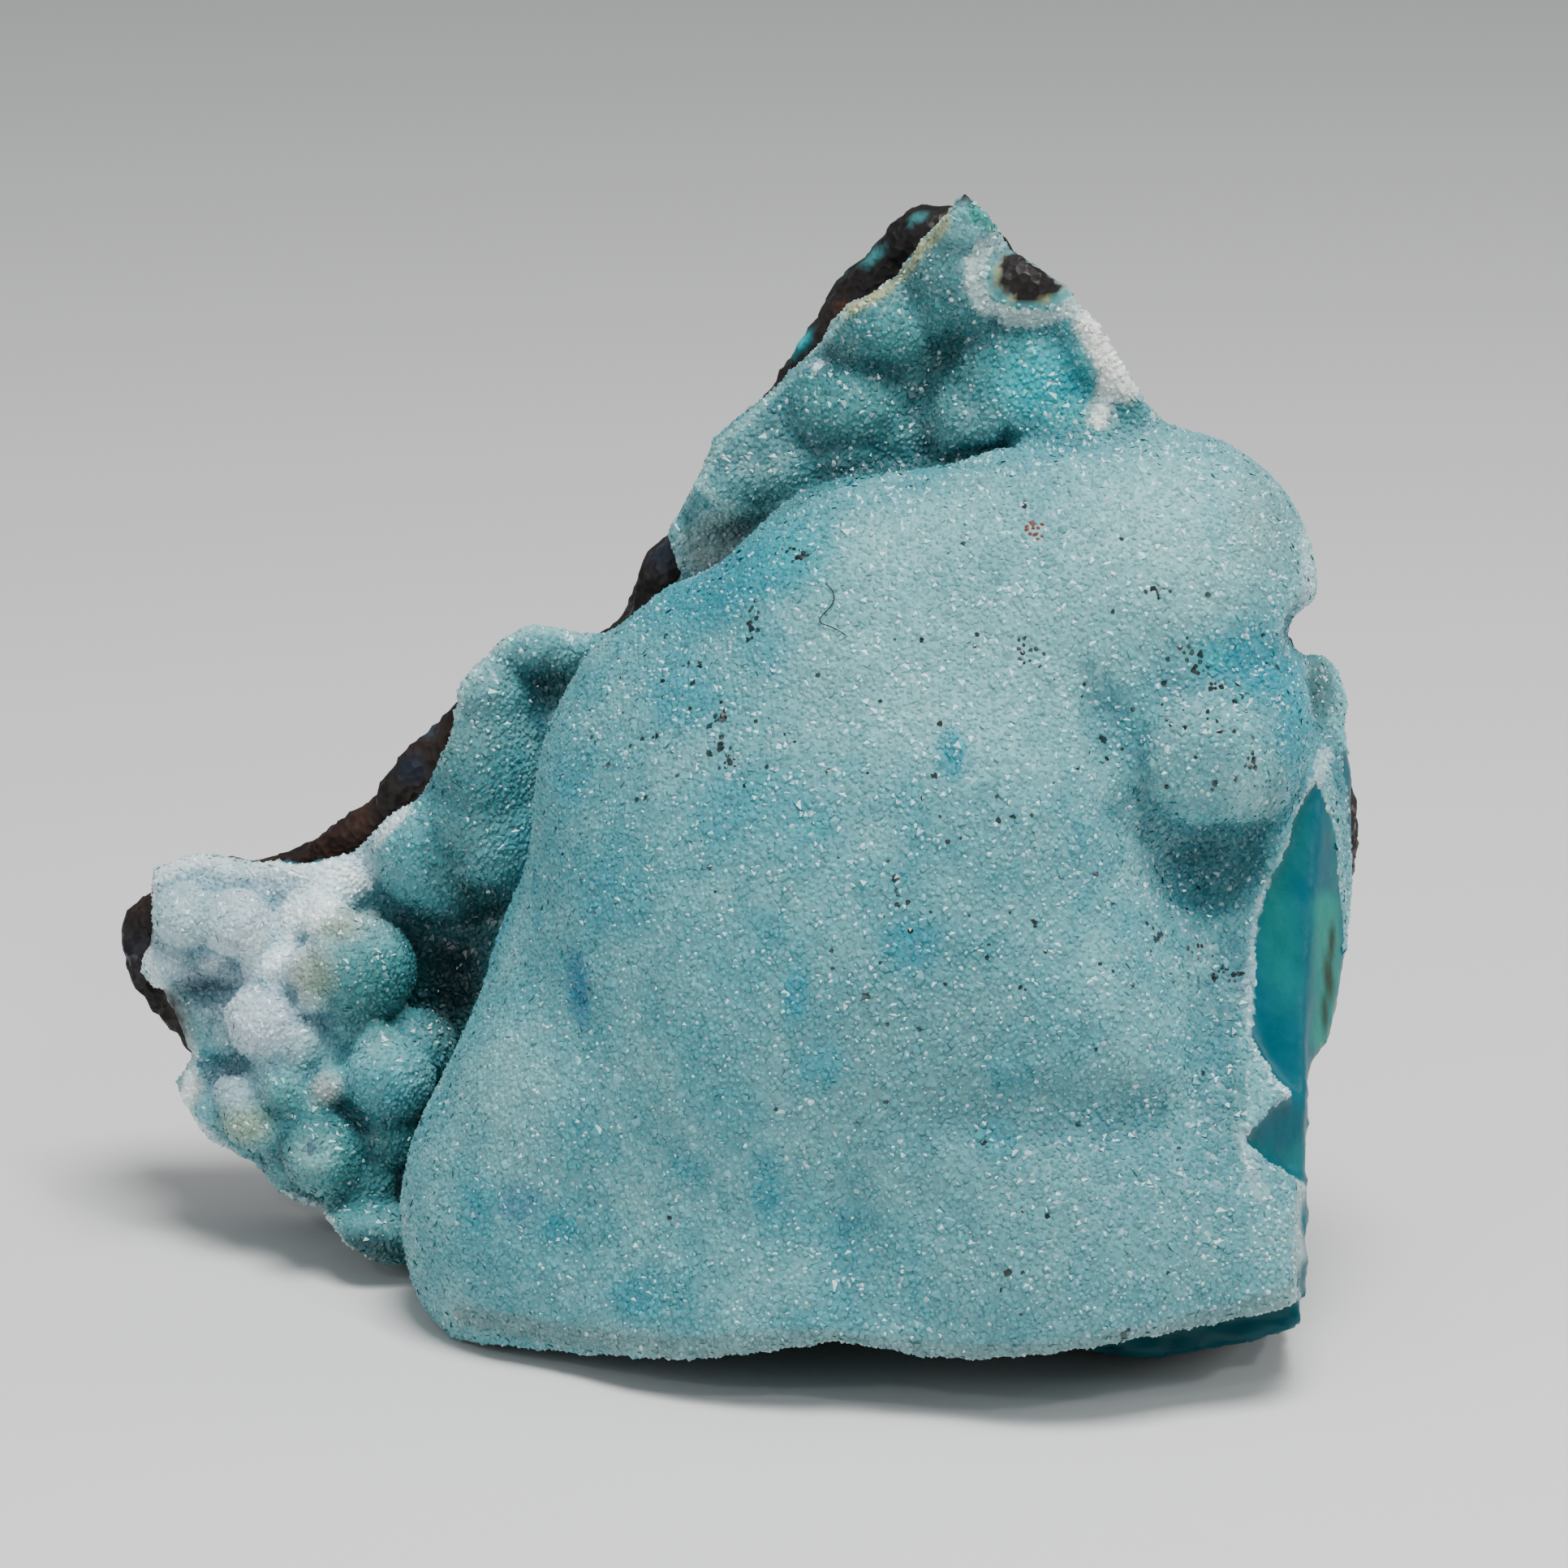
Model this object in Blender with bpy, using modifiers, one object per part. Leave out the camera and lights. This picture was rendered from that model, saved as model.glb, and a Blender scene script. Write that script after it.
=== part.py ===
"""Blue chrysocolla with a sugary quartz skin on a dark host rock: a small mineral specimen.

Two pieces that grew together make the specimen. The matrix is a thin, wedge-shaped slab of dark host
rock. The crust in front of it is a set of rounded lobes: one large boss, a peak behind it, a ledge and
a cluster of small lumps to the left. The display face leans back, so the lobes and the outlines are
given in the face's own frame: across to the right, up along the face, and out towards the viewer.
"""
import math
from typing import NamedTuple

import bmesh
import bpy
from mathutils import Matrix, Vector, noise

# Sizes are in millimetres and turned to metres by MM.
MM = 0.001

# The specimen stands on a flat foot, with the middle of its box over the origin. The face's frame is
# leaned back about the foot line, which lies behind the origin.
FOOT_LINE = Vector((0.59, -3.26, 0.0))
FACE_LEAN = math.radians(15.0)
STAND = Matrix.Translation(FOOT_LINE * MM)
FACE_FRAME = STAND @ Matrix.Rotation(math.radians(90.0) - FACE_LEAN, 4, "X")
CONTACT_GAP = 0.4
SHARP_ANGLE = math.radians(40.0)
REACH = 60.0

# The host rock: a slab that turns away on the left, with its front plane behind the crust.
SLAB_TURN = math.radians(14.0)
SLAB_FRAME = STAND @ Matrix.Rotation(-SLAB_TURN, 4, "Z")
SLAB_FRONT_SETBACK = 8.5
SLAB_THICKNESS = 6.2
ROCK_VOXEL = 0.7
ROCK_SOFTENING = 1
ROCK_ROUGHNESS = 0.55
ROCK_GRAIN = 3.4
ROCK_FINE_GRAIN = 1.5
ROCK_TRIANGLES = 2600
SEAT_VOXEL = 0.5

# The crust: a plate on the rock under the lobes. Each voxel size merges lobes into one skin, and each
# softening is the number of times that their creases are eased.
PLATE_THICKNESS = 1.2
PLATE_SINK = 1.0
BOSS_VOXEL = 0.5
BOSS_SOFTENING = 60
CRUST_VOXEL = 0.36
CRUST_SOFTENING = 3
CRUST_FINE_TRIANGLES = 24000
CRUST_TRIANGLES = 5900

ROCK_COLOUR = (0.014, 0.011, 0.010)
ROCK_SHADER_ROUGHNESS = 0.8
DRUSE_COLOUR = (0.23, 0.41, 0.44)
DRUSE_SHADER_ROUGHNESS = 0.4


class Lobe(NamedTuple):
    """An ellipsoid of the crust: its centre and its radii in the face's frame, in millimetres."""

    across: float
    up: float
    out: float
    half_width: float
    half_height: float
    half_depth: float
    roll: float = 0.0


BOSS_LOBES = {
    "body": Lobe(5.6, 15.0, 3.0, 13.2, 16.2, 10.4),
    "left_shoulder": Lobe(0.5, 19.4, 1.8, 8.5, 10.1, 7.6),
    "left_flank": Lobe(-1.0, 12.9, -0.8, 8.7, 8.6, 8.8),
    "lower_left": Lobe(-4.9, 4.4, -1.2, 8.3, 8.6, 8.2),
    "lower_left_waist": Lobe(-2.6, 8.6, -0.4, 8.8, 7.4, 9.4),
    "skirt": Lobe(6.0, 2.6, 0.2, 14.8, 13.6, 11.0),
    "lower_right": Lobe(12.2, 2.2, 2.6, 9.3, 9.2, 10.2),
    "lower_corner": Lobe(18.6, 3.6, 2.4, 5.4, 10.6, 8.8),
    "middle_right": Lobe(11.4, 13.4, 3.2, 8.2, 9.4, 9.6),
    "centre_dome": Lobe(9.4, 20.6, 4.0, 8.0, 9.0, 9.4),
    "upper_shoulder": Lobe(6.8, 24.0, 5.2, 9.2, 9.3, 6.8),
    "crown_bridge": Lobe(12.0, 26.4, 5.0, 7.8, 8.0, 7.4),
    "crown": Lobe(15.9, 28.3, 5.4, 6.3, 6.4, 6.6),
    "saddle": Lobe(16.8, 25.0, 5.2, 4.6, 5.2, 6.2),
    "right_wall": Lobe(20.6, 14.0, 3.0, 2.9, 10.5, 5.8),
    "far_right": Lobe(20.9, 22.6, 0.8, 3.3, 4.4, 4.2),
}
CRUST_LOBES = {
    "nose": Lobe(17.1, 23.2, 7.6, 4.6, 4.7, 3.7),
    "peak_foot": Lobe(13.6, 33.8, 4.6, 2.9, 2.6, 3.4),
    "peak_blue": Lobe(12.0, 36.8, 4.2, 4.4, 5.2, 2.8),
    "peak_edge": Lobe(13.9, 37.2, 5.4, 1.6, 4.2, 2.6, 30.0),
    "peak_neck": Lobe(8.8, 40.4, 5.2, 2.2, 3.0, 2.2),
    "peak_tip": Lobe(8.6, 42.6, 6.2, 1.5, 1.8, 2.0),
    "peak_loop": Lobe(11.2, 39.8, 5.6, 2.6, 2.0, 2.0),
    "peak_upper_lump": Lobe(5.9, 38.4, 3.2, 2.7, 2.3, 2.8),
    "peak_left_lump": Lobe(4.6, 35.5, 2.4, 2.9, 2.2, 2.8),
    "peak_low_lump": Lobe(8.8, 35.0, 3.2, 1.9, 1.5, 2.4),
    "peak_wing": Lobe(0.9, 34.2, 0.8, 4.0, 2.3, 2.8, 50.0),
    "peak_wing_foot": Lobe(0.0, 32.6, 0.4, 2.4, 1.3, 2.6, 10.0),
    "peak_skirt": Lobe(-0.8, 30.6, -1.2, 2.6, 2.0, 1.8),
    "ledge_top": Lobe(-7.0, 26.2, -4.0, 3.2, 1.1, 2.4),
    "ledge_shoulder": Lobe(-9.7, 24.6, -4.6, 1.9, 2.0, 2.8),
    "ledge_pillar": Lobe(-9.8, 22.2, -5.2, 2.4, 4.2, 3.2),
    "ledge_foot": Lobe(-9.8, 19.6, -5.6, 2.7, 3.4, 3.0),
    "ledge_root": Lobe(-11.6, 18.5, -6.6, 2.9, 2.9, 3.0),
    "cluster_bed": Lobe(-18.2, 10.6, -10.0, 5.2, 9.4, 2.9),
    "plate_left": Lobe(-21.9, 15.7, -9.0, 2.0, 2.0, 2.4),
    "plate_lump": Lobe(-20.2, 15.8, -8.4, 2.1, 2.0, 2.3),
    "plate_top": Lobe(-21.2, 17.0, -8.8, 2.1, 1.8, 2.2),
    "plate_ridge": Lobe(-18.0, 16.6, -8.2, 2.4, 2.1, 2.4),
    "plate_right": Lobe(-15.4, 17.0, -7.6, 2.6, 2.0, 2.4, 25.0),
    "teal_lump": Lobe(-15.1, 13.7, -7.2, 2.4, 2.4, 2.8),
    "teal_side_knob": Lobe(-17.1, 13.6, -6.6, 1.25, 1.25, 1.4),
    "teal_top_knob": Lobe(-15.1, 15.4, -6.2, 1.4, 1.3, 1.4),
    "white_lump": Lobe(-18.7, 11.7, -7.8, 2.1, 2.0, 2.3),
    "white_knob": Lobe(-17.0, 11.4, -7.0, 1.35, 1.35, 1.6),
    "white_foot": Lobe(-19.8, 10.6, -8.2, 1.4, 1.4, 1.7),
    "pale_lump": Lobe(-20.0, 8.8, -8.4, 1.7, 1.6, 1.8),
    "corner": Lobe(-21.6, 8.8, -9.0, 1.2, 1.2, 1.6),
    "pale_low_lump": Lobe(-20.0, 7.3, -8.4, 1.6, 1.4, 1.7),
    "ochre_lump": Lobe(-18.4, 7.8, -7.4, 1.6, 1.5, 1.8),
    "pale_knob": Lobe(-16.3, 9.2, -6.6, 1.1, 1.1, 1.6),
    "blue_lump": Lobe(-14.1, 9.1, -5.8, 2.0, 2.1, 2.4),
    "blue_top_knob": Lobe(-12.9, 10.6, -6.2, 1.5, 1.4, 2.0),
    "ring_lump": Lobe(-16.4, 6.4, -6.4, 1.75, 1.7, 2.0),
    "ring_foot": Lobe(-15.0, 5.3, -6.4, 1.6, 1.6, 2.0),
    "low_knob": Lobe(-17.6, 5.3, -7.2, 1.4, 1.2, 1.8),
    "teal_lip": Lobe(-14.2, 3.2, -5.2, 2.4, 1.5, 2.3),
}

# Where the crust was broken off, seen square on the face (across, up). Between the broken edges the
# outline passes just outside the rounded lobes.
CRUST_OUTLINE = (
    (-11.0, -0.3), (-6.4, -0.5), (-1.7, -0.5), (2.4, 0.1), (3.7, 0.3), (5.2, 0.1), (6.7, -0.2),
    (8.8, -0.3), (11.8, 0.0), (13.3, -0.4), (15.8, -0.7), (19.2, -0.1), (21.3, 0.6),
    (21.4, 4.7), (21.5, 9.3), (21.9, 11.4), (23.1, 13.8), (23.5, 16.8), (23.5, 21.5), (23.1, 23.0),
    (23.4, 24.0), (23.1, 25.2), (22.3, 26.6), (22.8, 28.7), (22.4, 31.5), (20.5, 34.2), (18.0, 35.2),
    (16.3, 34.4), (15.2, 35.6), (14.5, 36.9), (13.5, 38.4), (12.3, 39.8), (11.3, 40.5), (10.2, 41.3),
    (9.7, 42.1), (8.6, 43.2), (7.8, 42.3), (7.0, 41.4), (6.1, 40.3), (5.0, 39.5), (4.1, 39.1),
    (3.4, 38.1), (2.8, 37.4), (0.7, 35.5), (-0.8, 34.3), (-1.5, 32.6), (-2.7, 30.7), (-2.1, 29.0),
    (-3.5, 27.8), (-4.6, 26.9), (-6.0, 26.8), (-7.9, 27.2), (-8.9, 26.8), (-10.8, 25.0),
    (-11.2, 22.8), (-12.5, 20.4), (-13.5, 19.9), (-15.2, 18.3), (-17.1, 17.8), (-19.8, 17.9),
    (-21.6, 18.2), (-23.3, 17.6), (-23.4, 16.3), (-23.7, 13.6), (-22.6, 11.9), (-21.8, 10.1),
    (-22.4, 8.9), (-21.1, 6.8), (-19.4, 6.0), (-18.0, 4.5), (-16.0, 3.8), (-15.3, 2.9), (-13.9, 2.1),
    (-12.9, 2.1), (-12.2, 0.9),
)
# The quartz skin of the lower right ends higher than the blue mass behind it.
SKIN_LIP = ((11.8, 0.0), (14.8, 0.5), (17.9, 1.0), (21.1, 1.7), (24.0, 2.2), (24.0, -6.0), (11.8, -6.0))
SKIN_LIP_BACK = 6.6
ROCK_OUTLINE = (
    (-12.0, -4.0), (20.6, -4.0), (21.2, 4.0), (21.3, 9.5), (22.4, 12.2), (23.4, 14.8), (23.8, 18.0),
    (23.7, 21.8), (22.3, 24.6), (19.4, 29.2), (16.2, 33.6), (13.2, 38.0), (11.0, 39.8), (9.6, 42.2),
    (8.2, 43.2), (6.7, 42.5), (5.5, 41.8), (4.6, 40.8), (3.8, 39.7), (3.0, 38.5), (1.9, 37.7),
    (1.5, 36.3), (0.6, 35.5), (-0.4, 34.4), (-1.4, 33.1), (-2.3, 31.1), (-3.6, 29.9), (-4.2, 28.3),
    (-5.0, 26.9), (-8.8, 26.1), (-10.9, 24.4), (-12.6, 23.0), (-13.5, 21.9), (-14.1, 20.7),
    (-15.3, 19.8), (-16.7, 18.7), (-18.5, 17.9), (-21.0, 17.4), (-23.6, 16.8), (-24.8, 15.7),
    (-24.9, 14.3), (-24.4, 12.6), (-23.5, 10.4), (-21.8, 8.2), (-19.6, 6.4), (-16.8, 4.4),
    (-13.4, 2.4), (-12.4, 0.0),
)


class Fracture(NamedTuple):
    """A flat break: a point on it, measured from the foot line, and its outward direction."""

    point: tuple[float, float, float]
    outward: tuple[float, float, float]


ROCK_FRACTURES = (
    Fracture((-8.0, 17.2, 20.0), (-0.12, 1.0, 0.25)),
    Fracture((14.0, 10.5, 26.0), (0.42, 1.0, 0.22)),
    Fracture((12.0, 10.8, 6.0), (0.5, 1.0, -0.32)),
    Fracture((-14.0, 18.5, 8.0), (-0.3, 0.9, -0.75)),
    Fracture((-25.4, 17.0, 14.0), (-0.8, 0.7, 0.4)),
    Fracture((3.0, 13.2, 4.0), (0.05, 1.0, -0.5)),
)

# Scoops out of the crust: the shell-shaped breaks on the right, and hollows between lumps.
BREAK_SIDE = Lobe(25.7, 15.4, 10.0, 6.1, 7.2, 6.2, -15.0)
BREAK_CHIP = Lobe(23.1, 7.9, 9.8, 3.95, 1.6, 3.8, 8.0)
PEAK_SLOT = Lobe(7.2, 33.6, 5.6, 3.6, 0.6, 4.6, 2.0)
PEAK_SLOT_END = Lobe(10.5, 33.9, 6.0, 0.6, 0.65, 3.4)
RING_PIT = Lobe(-16.8, 6.9, -4.4, 0.45, 0.45, 0.9)
CRUST_SCOOPS = (BREAK_SIDE, BREAK_CHIP, PEAK_SLOT, PEAK_SLOT_END, RING_PIT)
SIDE_BREAK = Fracture((21.3, -5.0, 16.0), (0.9, -0.4, 0.1))


def clear_scene() -> None:
    """Remove every object of the open file."""
    for item in list(bpy.data.objects):
        bpy.data.objects.remove(item, do_unlink=True)


def new_collection(name: str) -> bpy.types.Collection:
    """Add a collection under the scene's own."""
    group = bpy.data.collections.new(name)
    bpy.context.scene.collection.children.link(group)
    return group


def new_material(name: str, colour: tuple, roughness: float) -> bpy.types.Material:
    """Make a plain Principled material with one colour."""
    material = bpy.data.materials.new(name)
    material.use_nodes = True
    shader = material.node_tree.nodes["Principled BSDF"]
    shader.inputs["Base Color"].default_value = (*colour, 1.0)
    shader.inputs["Roughness"].default_value = roughness
    shader.inputs["Metallic"].default_value = 0.0
    return material


def as_object(name: str, shape: bmesh.types.BMesh, group: bpy.types.Collection) -> bpy.types.Object:
    """Turn an edit mesh into an object of a collection and free the edit mesh."""
    mesh = bpy.data.meshes.new(name)
    shape.to_mesh(mesh)
    shape.free()
    item = bpy.data.objects.new(name, mesh)
    group.objects.link(item)
    return item


def bake(item: bpy.types.Object) -> bpy.types.Object:
    """Replace an object's mesh by the mesh that its modifiers give, and drop the modifiers."""
    graph = bpy.context.evaluated_depsgraph_get()
    graph.update()
    mesh = bpy.data.meshes.new_from_object(item.evaluated_get(graph))
    item.modifiers.clear()
    item.data = mesh
    return item


def lobe_matrix(lobe: Lobe) -> Matrix:
    """Place and stretch a unit ball to a lobe of the face's frame."""
    place = Matrix.Translation(Vector((lobe.across, lobe.up, lobe.out)) * MM)
    turn = Matrix.Rotation(math.radians(lobe.roll), 4, "Z")
    size = Matrix.Diagonal(Vector((lobe.half_width, lobe.half_height, lobe.half_depth)) * MM).to_4x4()
    return FACE_FRAME @ place @ turn @ size


def add_lobes(name: str, lobes, group: bpy.types.Collection, rings: int = 4) -> bpy.types.Object:
    """Put one ball for each lobe in one object."""
    shape = bmesh.new()
    for lobe in lobes:
        bmesh.ops.create_icosphere(shape, subdivisions=rings, radius=1.0, matrix=lobe_matrix(lobe))
    return as_object(name, shape, group)


def melt(item: bpy.types.Object, voxel: float, softening: int) -> bpy.types.Object:
    """Merge what overlaps in an object into one skin, and soften the creases."""
    remesh = item.modifiers.new("merge", "REMESH")
    remesh.mode = "VOXEL"
    remesh.voxel_size = voxel * MM
    remesh.adaptivity = 0.0
    if softening:
        smooth = item.modifiers.new("soften", "SMOOTH")
        smooth.factor = 0.5
        smooth.iterations = softening
    return bake(item)


def thin_out(item: bpy.types.Object, triangles: int) -> bpy.types.Object:
    """Reduce an object to about a number of triangles."""
    item.data.calc_loop_triangles()
    decimate = item.modifiers.new("thin_out", "DECIMATE")
    decimate.ratio = min(1.0, triangles / len(item.data.loop_triangles))
    decimate.use_collapse_triangulate = True
    return bake(item)


def outline_prism(name: str, outline, group, back: float = -REACH) -> bpy.types.Object:
    """Extrude an outline of the face's frame from one depth out past the front."""
    curve = bpy.data.curves.new(name, "CURVE")
    curve.dimensions = "2D"
    curve.fill_mode = "BOTH"
    curve.extrude = (REACH - back) / 2.0 * MM
    spline = curve.splines.new("POLY")
    spline.points.add(len(outline) - 1)
    for point, (across, up) in zip(spline.points, outline):
        point.co = (across * MM, up * MM, 0.0, 1.0)
    spline.use_cyclic_u = True
    source = bpy.data.objects.new(name + "_curve", curve)
    group.objects.link(source)
    source.matrix_world = FACE_FRAME @ Matrix.Translation((0.0, 0.0, (REACH + back) / 2.0 * MM))
    graph = bpy.context.evaluated_depsgraph_get()
    graph.update()
    mesh = bpy.data.meshes.new_from_object(source.evaluated_get(graph))
    shape = bmesh.new()
    shape.from_mesh(mesh)
    shape.transform(source.matrix_world)
    bmesh.ops.remove_doubles(shape, verts=shape.verts, dist=0.001 * MM)
    bmesh.ops.recalc_face_normals(shape, faces=shape.faces)
    bpy.data.objects.remove(source, do_unlink=True)
    return as_object(name, shape, group)


def box(name: str, corner_low, corner_high, group, frame: Matrix) -> bpy.types.Object:
    """Make a box between two corners given in millimetres, in a frame."""
    low = Vector(corner_low) * MM
    high = Vector(corner_high) * MM
    size = Matrix.Diagonal(high - low).to_4x4()
    shape = bmesh.new()
    bmesh.ops.create_cube(shape, size=1.0, matrix=frame @ Matrix.Translation((low + high) / 2.0) @ size)
    return as_object(name, shape, group)


def boolean(item: bpy.types.Object, cutter: bpy.types.Object, operation: str) -> bpy.types.Object:
    """Cut, keep or join an object with a second one."""
    step = item.modifiers.new(operation.lower(), "BOOLEAN")
    step.operation = operation
    step.object = cutter
    step.solver = "EXACT"
    return bake(item)


def hide_cutters(group: bpy.types.Collection) -> None:
    """Show the cutters as wires only."""
    for cutter in group.objects:
        cutter.hide_render = True
        cutter.display_type = "WIRE"


def break_off(item: bpy.types.Object, fracture: Fracture) -> None:
    """Cut away what lies outside a flat break, and close the cut."""
    shape = bmesh.new()
    shape.from_mesh(item.data)
    everything = shape.verts[:] + shape.edges[:] + shape.faces[:]
    cut = bmesh.ops.bisect_plane(
        shape, geom=everything, plane_co=STAND @ (Vector(fracture.point) * MM),
        plane_no=Vector(fracture.outward).normalized(), clear_outer=True)
    rim = [edge for edge in cut["geom_cut"] if isinstance(edge, bmesh.types.BMEdge)]
    bmesh.ops.holes_fill(shape, edges=rim, sides=0)
    bmesh.ops.triangulate(shape, faces=[face for face in shape.faces if len(face.verts) > 4])
    shape.to_mesh(item.data)
    shape.free()


def roughen(item: bpy.types.Object, depth: float, coarse_grain: float, fine_grain: float) -> None:
    """Push a surface in and out by smooth noise of two grain sizes, the finer one half as deep."""
    shape = bmesh.new()
    shape.from_mesh(item.data)
    shape.normal_update()
    for vert in shape.verts:
        place = STAND.inverted() @ vert.co
        coarse = noise.noise(place / (coarse_grain * MM))
        fine = noise.noise(place / (fine_grain * MM))
        vert.co += vert.normal * (depth * MM) * (coarse + 0.5 * fine)
    shape.to_mesh(item.data)
    shape.free()


def keep_largest(item: bpy.types.Object) -> None:
    """Drop every island but the one with the most vertices."""
    shape = bmesh.new()
    shape.from_mesh(item.data)
    unseen = set(shape.verts)
    islands = []
    while unseen:
        island = {unseen.pop()}
        border = list(island)
        while border:
            vert = border.pop()
            for edge in vert.link_edges:
                other = edge.other_vert(vert)
                if other in unseen:
                    unseen.discard(other)
                    island.add(other)
                    border.append(other)
        islands.append(island)
    islands.sort(key=len)
    for island in islands[:-1]:
        bmesh.ops.delete(shape, geom=list(island), context="VERTS")
    shape.to_mesh(item.data)
    shape.free()


def make_rock(parts: bpy.types.Collection, cutters: bpy.types.Collection) -> bpy.types.Object:
    """Model the host rock: a slab broken to its outline, with a flat foot."""
    back = SLAB_FRONT_SETBACK + SLAB_THICKNESS
    rock = box("matrix", (-REACH, SLAB_FRONT_SETBACK, -REACH), (REACH, back, REACH), parts, SLAB_FRAME)
    outline = outline_prism("rock_outline", ROCK_OUTLINE, cutters)
    boolean(rock, outline, "INTERSECT")
    for fracture in ROCK_FRACTURES:
        break_off(rock, fracture)
    melt(rock, ROCK_VOXEL, ROCK_SOFTENING)
    roughen(rock, ROCK_ROUGHNESS, ROCK_GRAIN, ROCK_FINE_GRAIN)
    thin_out(rock, ROCK_TRIANGLES)
    ground = box("ground", (-REACH, -REACH, -REACH), (REACH, REACH, 0.0), cutters, STAND)
    boolean(rock, ground, "DIFFERENCE")
    keep_largest(rock)
    return rock


def rock_with_clearance(rock: bpy.types.Object, cutters: bpy.types.Collection) -> bpy.types.Object:
    """Copy the rock, grown by the contact gap, to cut its seat in the crust."""
    seat = bpy.data.objects.new("rock_seat", rock.data.copy())
    cutters.objects.link(seat)
    grow = seat.modifiers.new("grow", "DISPLACE")
    grow.strength = CONTACT_GAP * MM
    grow.mid_level = 0.0
    grow.direction = "NORMAL"
    bake(seat)
    melt(seat, SEAT_VOXEL, 0)
    return thin_out(seat, ROCK_TRIANGLES)


def make_crust(rock: bpy.types.Object, parts, cutters) -> bpy.types.Object:
    """Model the crust: melted lobes on a plate, broken to the outline and seated on the rock."""
    boss = add_lobes("boss_lobes", BOSS_LOBES.values(), cutters)
    melt(boss, BOSS_VOXEL, BOSS_SOFTENING)
    front = SLAB_FRONT_SETBACK - PLATE_THICKNESS
    back = SLAB_FRONT_SETBACK + PLATE_SINK
    plate = box("plate", (-REACH, front, -REACH), (REACH, back, REACH), cutters, SLAB_FRAME)
    boolean(plate, cutters.objects["rock_outline"], "INTERSECT")
    crust = add_lobes("druse_crust", CRUST_LOBES.values(), parts)
    shape = bmesh.new()
    for source in (crust, boss, plate):
        shape.from_mesh(source.data)
    shape.to_mesh(crust.data)
    shape.free()
    melt(crust, CRUST_VOXEL, CRUST_SOFTENING)
    thin_out(crust, CRUST_FINE_TRIANGLES)
    outline = outline_prism("crust_outline", CRUST_OUTLINE, cutters)
    boolean(crust, outline, "INTERSECT")
    lip = outline_prism("skin_lip", SKIN_LIP, cutters, back=SKIN_LIP_BACK)
    boolean(crust, lip, "DIFFERENCE")
    break_off(crust, SIDE_BREAK)
    for number, scoop in enumerate(CRUST_SCOOPS):
        ball = add_lobes(f"scoop_{number}", [scoop], cutters, rings=3)
        boolean(crust, ball, "DIFFERENCE")
    keep_largest(crust)
    thin_out(crust, CRUST_TRIANGLES)
    boolean(crust, cutters.objects["ground"], "DIFFERENCE")
    boolean(crust, rock_with_clearance(rock, cutters), "DIFFERENCE")
    keep_largest(crust)
    return crust


def main() -> None:
    """Build the specimen."""
    clear_scene()
    parts = new_collection("chrysocolla_specimen")
    cutters = new_collection("cutters")
    rock = make_rock(parts, cutters)
    crust = make_crust(rock, parts, cutters)
    rock.data.materials.append(new_material("dark_host_rock", ROCK_COLOUR, ROCK_SHADER_ROUGHNESS))
    crust.data.materials.append(new_material("chrysocolla_druse", DRUSE_COLOUR, DRUSE_SHADER_ROUGHNESS))
    for item in parts.objects:
        item.data.shade_smooth()
        item.data.set_sharp_from_angle(angle=SHARP_ANGLE)
    hide_cutters(cutters)


main()
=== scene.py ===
"""Looks of a small mineral specimen: blue chrysocolla under a sugary quartz skin, on a dark host rock.

The shapes are grown again from the values that the solids are made from, in finer steps, and finished
with what is too small for the solids: the quartz grains of the skin, the layers that show where the
crust is broken, and the hackly face of the rock.
"""

import logging
import math
from dataclasses import dataclass, field
from enum import Enum

import bmesh
import bpy
import numpy as np
from mathutils import Matrix, Vector, noise
from mathutils.bvhtree import BVHTree
from mathutils.kdtree import KDTree


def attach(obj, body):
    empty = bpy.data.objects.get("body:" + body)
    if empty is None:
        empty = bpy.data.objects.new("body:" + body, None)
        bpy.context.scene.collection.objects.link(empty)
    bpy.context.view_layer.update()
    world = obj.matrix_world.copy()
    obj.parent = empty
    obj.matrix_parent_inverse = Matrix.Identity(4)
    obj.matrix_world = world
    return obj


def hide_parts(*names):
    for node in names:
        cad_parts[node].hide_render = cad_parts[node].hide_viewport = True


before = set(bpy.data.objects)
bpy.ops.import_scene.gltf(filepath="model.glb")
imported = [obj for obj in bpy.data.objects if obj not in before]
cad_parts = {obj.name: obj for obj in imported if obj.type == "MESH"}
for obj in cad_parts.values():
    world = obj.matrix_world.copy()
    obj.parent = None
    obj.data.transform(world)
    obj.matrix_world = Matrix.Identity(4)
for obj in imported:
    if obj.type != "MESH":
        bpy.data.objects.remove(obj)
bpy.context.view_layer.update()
log = logging.getLogger("specimen")

# Sizes are in millimetres and turned to metres by MM.
MM = 0.001
BODY = "root"
ROCK_NODE = "matrix"
CRUST_NODE = "druse_crust"
SEED = 29
# Farther than any part of the specimen.
REACH = 60.0
# A scoop's own surface lies up to this many of its radii from its middle, once melted.
SCOOP_REACH = 1.25
# Between these two values lies most of what a noise texture gives.
NOISE_LOW = 0.3
NOISE_HIGH = 0.7

Outline = tuple[tuple[float, float], ...]
Point = tuple[float, float, float]


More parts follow.
